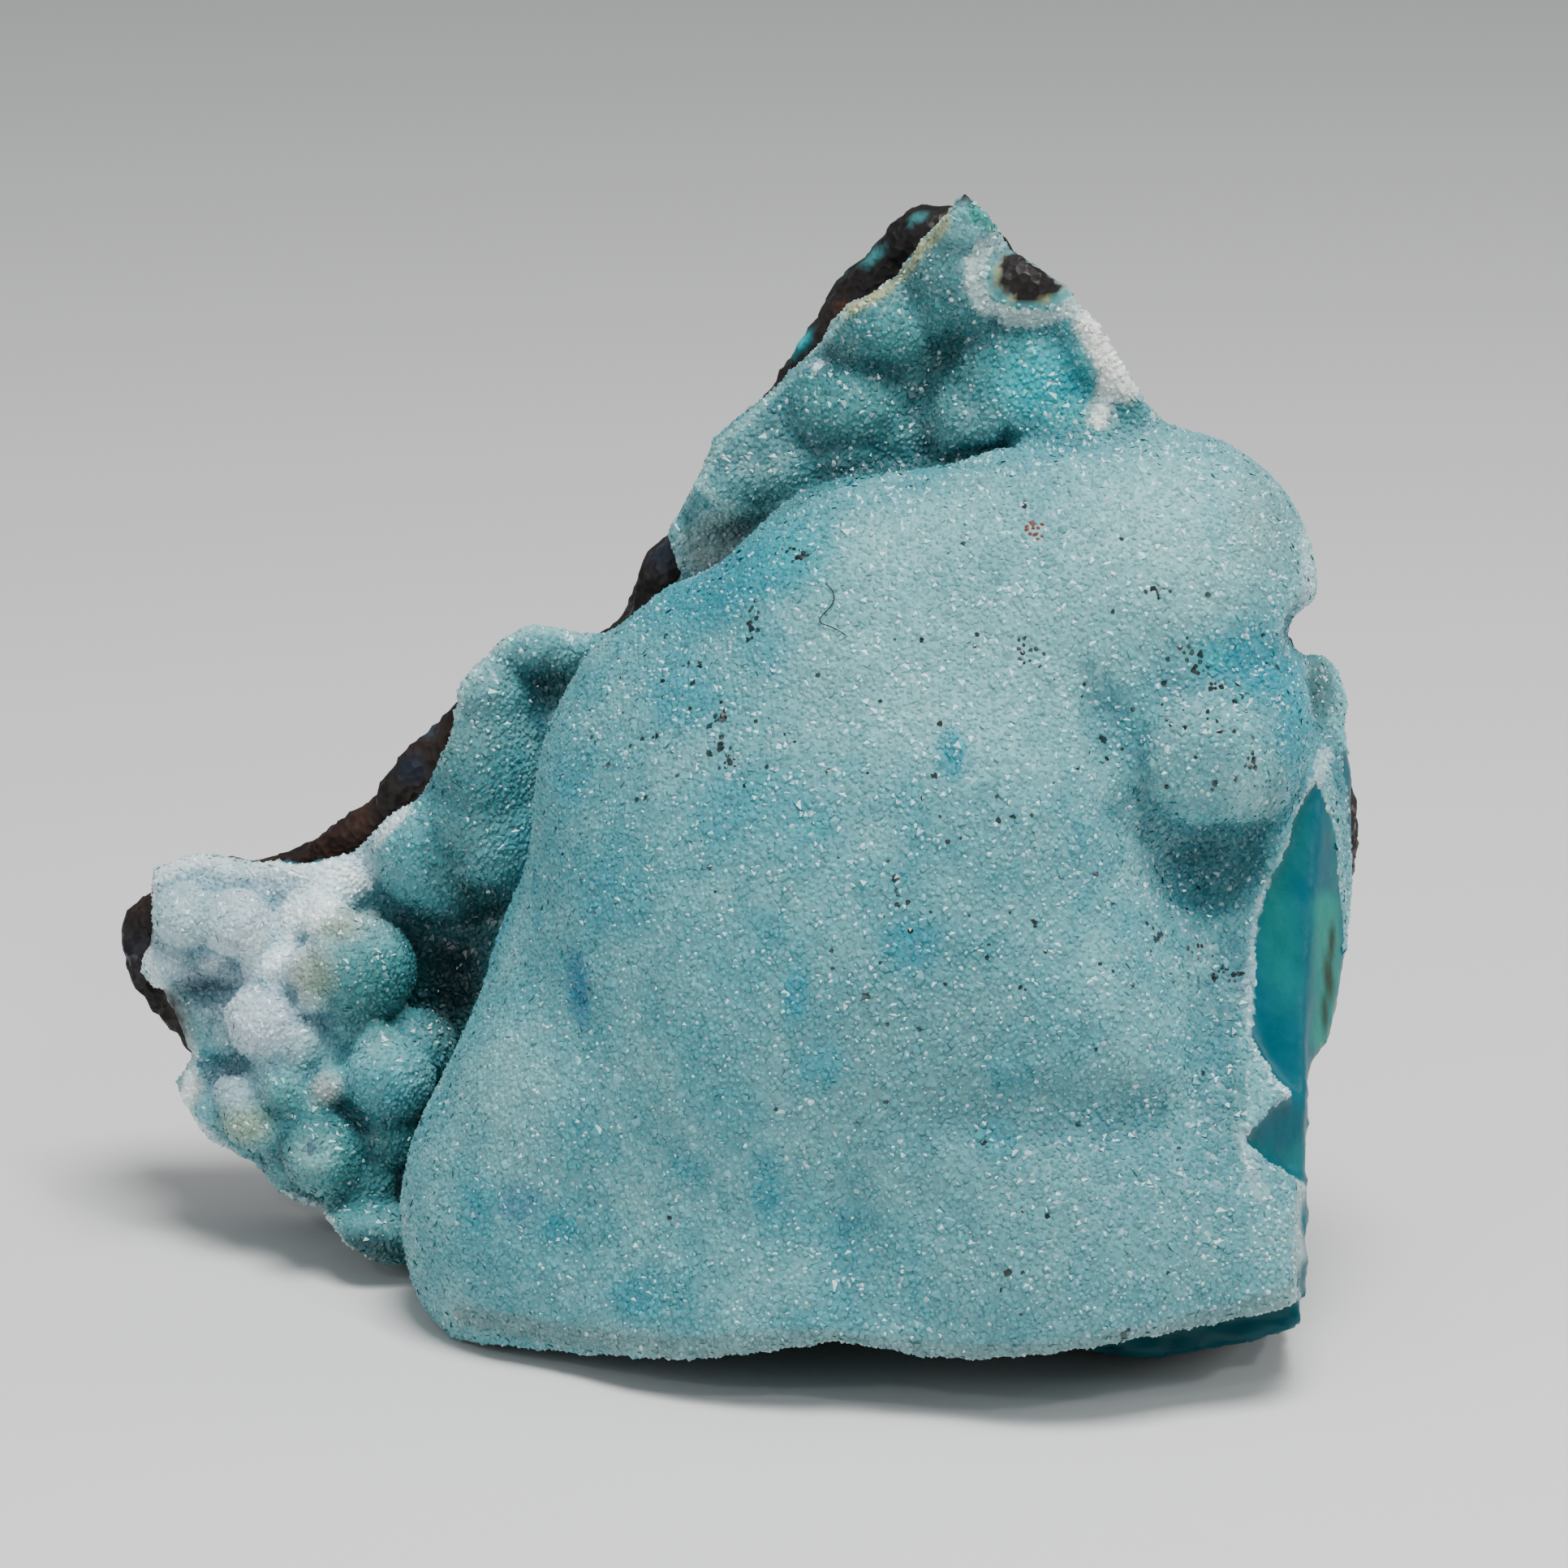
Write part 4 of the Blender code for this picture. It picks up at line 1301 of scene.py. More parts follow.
@dataclass
class Tinting:
    """Where the minerals' colours and some painted shade and light lie: soft patches on the grown skin,
    and layers where it is broken.
    """

    quartz_depth: float = 0.6
    line_width: float = 0.4
    eye: BandedEye = BandedEye()
    # Colour patches of the boss, the peak, the ledge and the cluster, laid in this order.
    boss: tuple[Mark, ...] = (
        Mark(16.1, 30.4, 6.03, 4.22, Shade.PALE_AQUA, 0.75),
        Mark(19.7, 30.8, 1.81, 2.72, Shade.DULL_ROSE_AND_SHADE, 0.3),
        Mark(7.4, 25.4, 8.45, 5.13, Shade.PALE_AQUA, 0.6),
        Mark(6.4, 30.2, 5.43, 2.11, Shade.PALE_AQUA, 0.5, 15.0),
        Mark(13.1, 5.5, 9.05, 6.34, Shade.GREY_AQUA, 0.6),
        Mark(6.7, 11.2, 6.94, 5.13, Shade.GREY_AQUA, 0.6),
        Mark(17.0, 22.4, 2.72, 3.62, Shade.GREY_AQUA, 0.5),
        Mark(-7.0, 13.8, 5.23, 12.92, Shade.SKY, 0.12), Mark(-4.5, 2.7, 8.0, 2.77, Shade.SKY, 0.12),
        Mark(-0.1, 28.7, 5.23, 1.91, Shade.SKY, 0.9, 24.0),
        Mark(2.4, 29.5, 1.85, 1.54, Shade.BRIGHT_SKY, 0.35, 20.0),
        Mark(1.0, 26.0, 1.66, 1.51, Shade.SKY, 0.6), Mark(-2.1, 24.6, 2.31, 1.85, Shade.SKY, 0.65),
        # Mark(-8.2, 9.2), pale aqua: painted light, the boss lighter along its left edge.
        Mark(-6.4, 21.2, 1.17, 2.31, Shade.SKY, 0.6), Mark(-8.2, 9.2, 1.85, 4.61, Shade.PALE_AQUA, 0.4),
        Mark(-0.2, 20.0, 2.41, 1.96, Shade.SKY, 0.55), Mark(8.0, 22.1, 0.78, 1.45, Shade.SKY, 0.9),
        Mark(6.4, 15.1, 1.51, 1.27, Shade.SKY, 0.85, -30.0),
        Mark(2.2, 13.3, 0.66, 1.66, Shade.SKY, 0.9, -8.0),
        Mark(-5.9, 13.3, 0.55, 1.91, Shade.DEEP_SKY, 0.75, 4.0),
        Mark(-4.5, 16.6, 1.85, 1.85, Shade.SKY, 0.35), Mark(-9.8, 5.0, 0.92, 1.38, Shade.SKY, 0.65),
        Mark(-8.2, 5.2, 1.17, 1.17, Shade.DEEP_SKY, 0.65), Mark(-6.7, 4.3, 0.98, 0.8, Shade.SKY, 0.8),
        Mark(1.2, 5.9, 0.91, 2.26, Shade.SKY, 0.75, 10.0), Mark(3.1, 10.6, 1.36, 1.21, Shade.SKY, 0.65),
        Mark(10.1, 10.3, 1.33, 1.15, Shade.SKY, 0.45), Mark(9.6, 7.9, 1.09, 0.84, Shade.SKY, 0.55),
        Mark(-4.0, 1.7, 1.51, 1.21, Shade.SKY, 0.75), Mark(-1.7, 6.7, 1.33, 1.03, Shade.SKY, 0.5),
        Mark(4.2, 3.1, 1.03, 1.81, Shade.SKY, 0.3), Mark(2.8, 19.4, 0.91, 0.72, Shade.BRIGHT_SKY, 0.35),
        Mark(4.2, 21.6, 0.66, 0.54, Shade.BRIGHT_SKY, 0.3), Mark(-8.2, 12.9, 1.11, 1.23, Shade.SKY, 0.3),
        Mark(19.3, 25.4, 2.87, 1.69, Shade.SKY, 1.0, -20.0),
        Mark(20.9, 23.0, 1.04, 3.36, Shade.SKY, 0.85),
        Mark(17.6, 25.6, 1.03, 0.78, Shade.BRIGHT_SKY, 0.6), Mark(17.9, 30.8, 0.91, 2.11, Shade.SKY, 0.3),
        Mark(14.9, 23.3, 0.91, 0.66, Shade.BRIGHT_SKY, 0.25),
        # Deep teal under the nose: painted shadow in the recess.
        Mark(17.9, 17.9, 2.72, 1.03, Shade.DEEP_TEAL, 0.25, -6.0),
        Mark(19.9, 20.0, 0.61, 1.83, Shade.TEAL, 0.4, -20.0),
        Mark(18.7, 9.3, 0.61, 3.05, Shade.TEAL, 0.35),
        Mark(21.5, 29.1, 0.43, 3.36, Shade.SNOW_QUARTZ_AND_SPARKLE, 0.35),
        Mark(22.2, 24.7, 0.92, 1.83, Shade.DEEP_TEAL, 0.75, 0.0, 6.0))
    peak: tuple[Mark, ...] = (
        Mark(2.8, 34.7, 7.06, 4.6, Shade.TEAL, 0.65, 25.0, 7.4),
        Mark(7.8, 38.4, 6.75, 4.6, Shade.TEAL, 0.75, 0.0, 7.9),
        Mark(13.0, 35.3, 3.68, 1.84, Shade.TEAL, 0.6, 0.0, 8.2),
        Mark(6.2, 38.1, 1.9, 1.41, Shade.SEA, 0.6, 0.0, 7.9),
        Mark(4.4, 35.3, 2.61, 1.53, Shade.SEA, 0.5, 0.0, 7.4),
        Mark(0.7, 33.6, 2.48, 1.71, Shade.GREY_AQUA, 0.45, 30.0, 6.0),
        Mark(11.6, 36.1, 2.61, 2.09, Shade.BRIGHT_SKY, 0.95, 0.0, 8.2),
        # Deep teal in the peak's two creases: painted shade.
        Mark(7.8, 37.4, 0.8, 1.84, Shade.DEEP_TEAL, 0.35, -35.0, 7.4),
        Mark(7.1, 34.4, 0.74, 1.53, Shade.DEEP_TEAL, 0.35, 0.0, 7.2),
        Mark(-0.7, 30.1, 1.99, 1.55, Shade.ROSY_QUARTZ, 0.75, 30.0, 4.0),
        Mark(3.1, 37.0, 0.37, 0.31, Shade.SNOW_QUARTZ_AND_SPARKLE, 1.0, 0.0, 7.4),
        Mark(15.1, 35.1, 0.74, 0.8, Shade.SEA, 0.7, 0.0, 8.2),
        Mark(9.1, 42.5, 0.86, 0.49, Shade.BREAK_GREEN, 0.5, -30.0, 9.5),
        # Deep teal in the slot under the peak: painted shadow.
        Mark(4.7, 33.1, 1.53, 0.49, Shade.DEEP_TEAL, 0.7, 8.0, 6.6))
    ledge: tuple[Mark, ...] = (
        Mark(-7.9, 25.8, 3.02, 1.46, Shade.GREY_AQUA, 0.5, 0.0, 1.0),
        Mark(-8.5, 25.6, 2.86, 1.27, Shade.TEAL, 0.15, 0.0, 1.0),
        Mark(-7.2, 24.7, 1.46, 1.21, Shade.DEEP_TEAL, 0.8, -40.0, 1.0),
        Mark(-10.3, 21.2, 2.38, 4.76, Shade.TEAL, 0.5, -8.0, 0.5),
        Mark(-10.1, 24.2, 0.95, 1.46, Shade.GREY_AQUA, 0.5, 0.0, 0.5),
        Mark(-11.6, 18.0, 1.59, 1.9, Shade.TEAL, 0.5, 0.0, -1.0),
        # Deep teal and near-black teal in the deep gap between the boss and the cluster: painted shade.
        Mark(-10.0, 16.4, 1.61, 2.57, Shade.DEEP_TEAL, 0.85, 0.0, -3.4),
        Mark(-11.3, 13.3, 2.25, 3.22, Shade.PAINTED_GAP_SHADE, 0.95, 0.0, -3.6),
        Mark(-12.9, 15.1, 1.61, 1.61, Shade.DEEP_TEAL, 0.6, 0.0, -4.2))
    cluster: tuple[Mark, ...] = (
        Mark(-19.5, 15.1, 6.09, 4.48, Shade.FROST, 0.9, 0.0, -2.0),
        Mark(-18.6, 11.6, 2.88, 2.24, Shade.FROST, 0.8, 0.0, -2.0),
        Mark(-21.6, 15.7, 2.58, 1.61, Shade.PALE_AQUA, 0.35, 0.0, -3.0),
        Mark(-15.7, 6.5, 4.81, 3.52, Shade.TEAL, 0.75, 0.0, -2.0),
        Mark(-14.7, 13.3, 2.82, 2.69, Shade.SEA, 0.9, 0.0, -2.6),
        Mark(-14.2, 12.7, 2.24, 2.24, Shade.TEAL, 0.5, 0.0, -2.6),
        Mark(-15.9, 15.5, 1.54, 0.9, Shade.OCHRE_GREEN, 0.6, 0.0, -2.6),
        Mark(-16.8, 13.5, 1.28, 1.41, Shade.OCHRE_GREEN, 0.6, 0.0, -2.6),
        Mark(-14.1, 9.0, 2.11, 1.67, Shade.SKY, 0.4, 0.0, -2.0),
        Mark(-13.0, 10.3, 1.28, 0.96, Shade.SKY, 0.3, 0.0, -2.0),
        Mark(-19.5, 7.6, 1.41, 1.09, Shade.OCHRE_GREEN, 0.6, 0.0, -4.0),
        Mark(-17.8, 8.7, 1.47, 1.28, Shade.SEA, 0.8, 0.0, -3.5),
        Mark(-16.2, 9.0, 0.83, 0.83, Shade.ROSY_QUARTZ, 0.6, 0.0, -3.0),
        Mark(-16.3, 6.3, 1.67, 1.6, Shade.SEA, 0.7, 0.0, -2.6),
        Mark(-16.6, 6.5, 1.09, 0.96, Shade.PALE_AQUA, 0.5, 0.0, -2.6),
        # Steel blue in a pit: painted shade.
        Mark(-16.8, 6.7, 0.45, 0.42, Shade.STEEL_BLUE, 0.9, 0.0, -3.0),
        Mark(-14.4, 2.8, 2.24, 1.09, Shade.DEEP_TEAL, 0.95, -8.0, 0.0),
        # Steel blue in creases between the lumps: painted shade.
        Mark(-21.3, 13.0, 1.81, 0.48, Shade.STEEL_BLUE, 0.85, 0.0, -5.0),
        Mark(-20.9, 9.4, 1.29, 0.84, Shade.STEEL_BLUE, 0.5, 0.0, -5.0),
        Mark(-19.9, 9.0, 1.6, 1.28, Shade.FROST, 0.5, 0.0, -4.0),
        Mark(-21.8, 8.8, 0.65, 0.77, Shade.ROSY_QUARTZ, 0.8, 0.0, -5.0),
        Mark(-15.4, 4.5, 2.88, 0.83, Shade.SEA, 0.5, -20.0, -2.0))
    # Rims and seams, along lines.
    seams: tuple[Seam, ...] = (
        # Along the bottom lip: rosy quartz, darkened with painted shade where the rim faces down.
        Seam(((-10.5, 0.7), (-6.2, 0.1), (-1.7, -0.1), (2.8, 0.3), (6.8, -0.1), (8.9, -0.2),
            (11.9, 0.0), (14.9, 0.5), (17.9, 1.1), (21.0, 2.0)), 0.6, Shade.DULL_ROSE_AND_SHADE, 0.5),
        Seam(((7.9, 42.4), (7.8, 42.0), (7.0, 41.2), (6.1, 40.1), (5.0, 39.3), (4.1, 38.9)),
            0.28, Shade.CREAM_GREEN, 0.85, 8.5),
        Seam(((4.1, 38.9), (3.4, 37.9), (2.8, 37.3), (0.7, 35.2), (-0.7, 34.0), (-1.4, 32.5)),
            0.21, Shade.PALE_AQUA, 0.5, 7.0),
        Seam(((-1.4, 32.5), (-0.6, 31.7), (0.7, 31.4), (2.1, 31.7)), 0.28, Shade.PALE_AQUA, 0.75, 5.0),
        Seam(((13.3, 38.3), (13.9, 37.2), (14.6, 36.0)), 0.71, Shade.WARM_QUARTZ, 1.0, 8.9),
        Seam(((14.1, 36.5), (13.6, 34.7)), 0.46, Shade.WARM_QUARTZ, 0.95, 8.9),
        Seam(((8.8, 42.4), (9.7, 41.9), (10.3, 41.3)), 0.28, Shade.BREAK_GREEN, 0.7),
        # Teal along the gap between the boss and the peak: painted shadow.
        Seam(((4.7, 32.6), (6.5, 33.0), (8.4, 33.3), (10.1, 33.7)), 0.4, Shade.TEAL, 0.8, 6.4),
        Seam(((-5.9, 26.7), (-7.9, 27.1), (-8.9, 26.7), (-9.8, 25.9), (-10.7, 24.9), (-11.0, 23.7)),
            0.25, Shade.PALE_AQUA, 0.6, 1.0),
        Seam(((-15.2, 17.5), (-16.7, 16.5), (-17.9, 15.1), (-18.7, 14.3)),
            1.03, Shade.SNOW_QUARTZ_AND_SPARKLE, 1.0, -3.0),
        Seam(((-23.2, 17.3), (-21.4, 18.1), (-19.7, 17.6), (-18.3, 17.8), (-17.1, 17.6), (-15.2, 17.9),
            (-13.2, 20.0)), 0.39, Shade.SNOW_QUARTZ_AND_SPARKLE, 0.6, -3.0),
        Seam(((-23.4, 17.0), (-23.5, 14.1), (-21.8, 10.5), (-22.0, 8.0), (-21.0, 6.9), (-18.1, 4.5),
            (-16.1, 3.8)), 0.29, Shade.SNOW_QUARTZ_AND_SPARKLE, 0.6, -3.0),
        Seam(((22.4, 22.1), (20.9, 18.4), (19.9, 16.4), (19.4, 13.4), (19.6, 11.4), (20.8, 9.3)),
            0.4, Shade.SNOW_QUARTZ_AND_SPARKLE, 0.45),
        Seam(((18.9, 8.1), (19.1, 7.0), (19.5, 5.7)), 0.36, Shade.SNOW_QUARTZ_AND_SPARKLE, 0.2))
    # Patches without grains, where rock shows: at the far left and at the tip.
    bare: tuple[Mark, ...] = (
        Mark(-23.0, 11.6, 1.3, 2.1, Shade.OXIDE_BLACK, 1.0, 25.0, -8.0),
        Mark(-24.0, 15.8, 0.9, 2.2, Shade.OXIDE_BLACK, 1.0, 0.0, -8.0),
        Mark(8.5, 43.25, 1.0, 0.8, Shade.OXIDE_BLACK, 1.0))
    # What stains the broken faces: green bands and a dark streak of malachite.
    stains: tuple[Mark | Seam, ...] = (
        Mark(20.4, 15.5, 1.2, 3.8, Shade.BREAK_GREEN, 0.5, 8.0),
        Seam(((22.4, 16.3), (22.5, 13.6), (22.3, 11.4)), 0.75, Shade.BREAK_GREEN, 1.0),
        Mark(22.62, 14.9, 0.2, 1.1, Shade.MALACHITE, 0.95, -4.0),
        Mark(22.5, 13.6, 0.3, 1.2, Shade.MALACHITE, 1.0, 6.0),
        Mark(22.33, 12.3, 0.24, 1.0, Shade.MALACHITE, 0.9, 4.0),
        Mark(22.9, 20.0, 0.45, 1.8, Shade.BREAK_GREEN, 0.9))
    # Dark oxide grains among the quartz.
    specks: tuple[SpeckCluster, ...] = (
        SpeckCluster(2.1, 29.6, 0.6, 0.36, 0.675), SpeckCluster(0.6, 27.1, 0.27, 1.03, 0.33),
        SpeckCluster(-0.6, 22.8, 0.45, 1.33, 0.33), SpeckCluster(-0.2, 21.8, 0.27, 0.24, 1.0),
        SpeckCluster(10.8, 25.9, 0.66, 0.54, 0.33), SpeckCluster(16.6, 26.0, 0.78, 0.78, 0.24),
        SpeckCluster(17.2, 25.3, 0.48, 0.27, 0.75), SpeckCluster(17.8, 24.6, 0.24, 0.24, 1.0),
        SpeckCluster(15.6, 28.0, 0.51, 0.36, 0.375), SpeckCluster(19.1, 21.8, 0.27, 0.36, 0.6),
        SpeckCluster(5.8, 16.8, 0.6, 0.84, 0.18), SpeckCluster(11.0, 15.8, 0.27, 0.18, 0.9),
        SpeckCluster(15.5, 15.1, 0.66, 0.54, 0.21), SpeckCluster(18.3, 13.8, 0.78, 0.33, 0.6),
        SpeckCluster(14.4, 0.7, 0.21, 0.15, 1.0), SpeckCluster(-2.5, 4.8, 0.21, 0.12, 0.9),
        SpeckCluster(17.3, 23.6, 1.81, 1.81, 0.045), SpeckCluster(8.3, 19.1, 9.96, 7.54, 0.012),
        SpeckCluster(-3.3, 23.6, 2.77, 3.38, 0.03), SpeckCluster(11.9, 26.0, 9.05, 6.03, 0.009),
        SpeckCluster(11.1, 30.4, 0.42, 0.33, 1.0, Shade.RUST_FLECK),
        SpeckCluster(17.5, 14.8, 0.78, 0.48, 0.15, Shade.RUST),
        SpeckCluster(18.8, 21.1, 0.54, 0.54, 0.18, Shade.RUST),
        SpeckCluster(8.9, 7.3, 10.56, 6.03, 0.0045))

    def marks(self) -> tuple[Mark | Seam, ...]:
        """Every patch and line of the grown skin, in the order in which they are laid."""
        return self.boss + self.peak + self.ledge + self.cluster + self.seams

    def grown(self, places: np.ndarray) -> np.ndarray:
        """Colours of the grown skin at places of the part's frame.

        Args:
            places: places of the part's frame, in metres.

        Returns:
            One linear colour for each place.
        """
        face_places = FACE.read(places)
        colours = np.tile(linear(Shade.AQUA), (len(places), 1))
        mottle = noise_at(places, 2.6, 12.0) + 0.6 * noise_at(places, 1.0, 21.0)
        colours = blend_to(colours, Shade.PALE_AQUA, smooth_step(mottle, -0.5, 0.9) * 0.4)
        colours = blend_to(colours, Shade.SKY, smooth_step(-mottle, 0.0, 1.0) * 0.3)
        waver = 0.5 + 0.5 * smooth_step(mottle, -0.7, 0.5)
        for mark in self.marks():
            share = mark.cover(face_places)
            colours = blend_to(colours, mark.shade, np.minimum(share, 2.0 * share * waver))
        colours = self.eye.tint(colours, face_places, 0.12 * noise_at(places, 0.5, 80.0))
        for mark in self.bare:
            colours = blend_to(colours, mark.shade, mark.cover(face_places))
        return colours

    def bareness(self, places: np.ndarray) -> np.ndarray:
        """How free of grains the grown skin is, from 0 to 1.

        Args:
            places: places of the part's frame, in metres.

        Returns:
            One value for each place.
        """
        face_places = FACE.read(places)
        free = 1.0 - smooth_step(self.eye.reach(face_places), self.eye.smooth_to - 0.05,
                                 self.eye.smooth_to + 0.05)
        for mark in self.bare:
            free = np.maximum(free, smooth_step(mark.cover(face_places), 0.2, 0.6))
        return free

    def rock_share(self, places: np.ndarray) -> np.ndarray:
        """Share of host rock that shows through the crust's own surface.

        Args:
            places: places of the part's frame, in metres.

        Returns:
            One share for each place.
        """
        face_places = FACE.read(places)
        shown = 1.0 - smooth_step(self.eye.reach(face_places), 0.95, 1.0)
        for mark in self.bare:
            shown = np.maximum(shown, mark.cover(face_places))
        return shown

    def sparkle_share(self, face_places: np.ndarray) -> np.ndarray:
        """Share of the grains painted white as sparkle, a painted highlight: few on the left, more to the
        right and the peak.

        Args:
            face_places: places of the face's frame, in millimetres.

        Returns:
            One share for each place.
        """
        right = smooth_step(face_places[:, 0], 8.0, 21.0)
        near = smooth_step(face_places[:, 2], -7.0, -1.0)
        return (0.02 + 0.06 * right + 0.03 * FACE.on_peak(face_places)) * (0.1 + 0.9 * near)

    def broken(self, places: np.ndarray, depth: np.ndarray, to_rock: np.ndarray) -> np.ndarray:
        """Colours of a broken face: quartz, then paler and deeper chrysocolla, and a line on the rock.

        Args:
            places: places of the part's frame.
            depth: how deep each lies under the grown skin, in millimetres.
            to_rock: how far each is from the host rock, in millimetres.

        Returns:
            One linear colour for each place.
        """
        waver = 0.25 * noise_at(places, 1.2, 40.0)
        layer = depth + waver * np.minimum(1.0, depth / self.quartz_depth)
        colours = np.tile(linear(Shade.MILKY_QUARTZ), (len(places), 1))
        colours = blend_to(colours, Shade.BREAK_BLUE, smooth_step(layer, 0.55, 0.85))
        colours = blend_to(colours, Shade.BREAK_TEAL, smooth_step(layer, 1.6, 4.0) * 0.8)
        green = smooth_step(noise_at(places, 2.0, 70.0), 0.2, 0.5) * smooth_step(layer, 0.8, 1.4)
        colours = blend_to(colours, Shade.BREAK_GREEN, green * 0.3)
        line = (1.0 - smooth_step(to_rock, 0.15, self.line_width)) * 0.4
        colours = blend_to(colours, Shade.CREAM_GREEN, line)
        face_places = FACE.read(places)
        for stain in self.stains:
            colours = blend_to(colours, stain.shade, stain.cover(face_places))
        return colours


@dataclass
class ReliefShading:
    """Painted shade and light from the skin's relief: darker and bluer in a crease, lighter and milkier on
    a bump.
    """

    grown: bpy.types.Object
    steps: int = 14
    crease_depth: float = 0.16
    bump_height: float = 0.12
    # Colour gains of the painted shade in a crease and the painted light on a bump.
    crease_shade: Point = (0.58, 0.71, 0.76)
    bump_light: Point = (1.28, 1.16, 1.14)

    def __post_init__(self) -> None:
        """Read the relief of the grown skin."""
        self.depths = creases_of(self.grown, self.steps)
        self.tree = KDTree(len(self.depths))
        for index, place in enumerate(places_of(self.grown)):
            self.tree.insert(place, index)
        self.tree.balance()

    def shade(self, colours: np.ndarray, places: np.ndarray) -> np.ndarray:
        """Darken colours in creases as painted shade and lighten them on bumps as painted light.

        Args:
            colours: one linear colour for each place.
            places: places of the part's frame, in metres.

        Returns:
            The tinted colours.
        """
        depth = self.depths[[self.tree.find(place)[1] for place in places]]
        crease = smooth_step(depth, 0.01, self.crease_depth)[:, None]
        bump = smooth_step(-depth, 0.01, self.bump_height)[:, None]
        # Painted shade in creases and painted light on bumps.
        crease_shade_gain = 1.0 + (np.array(self.crease_shade) - 1.0) * crease
        bump_light_gain = 1.0 + (np.array(self.bump_light) - 1.0) * bump
        return np.column_stack((colours[:, :3] * (crease_shade_gain * bump_light_gain), colours[:, 3]))


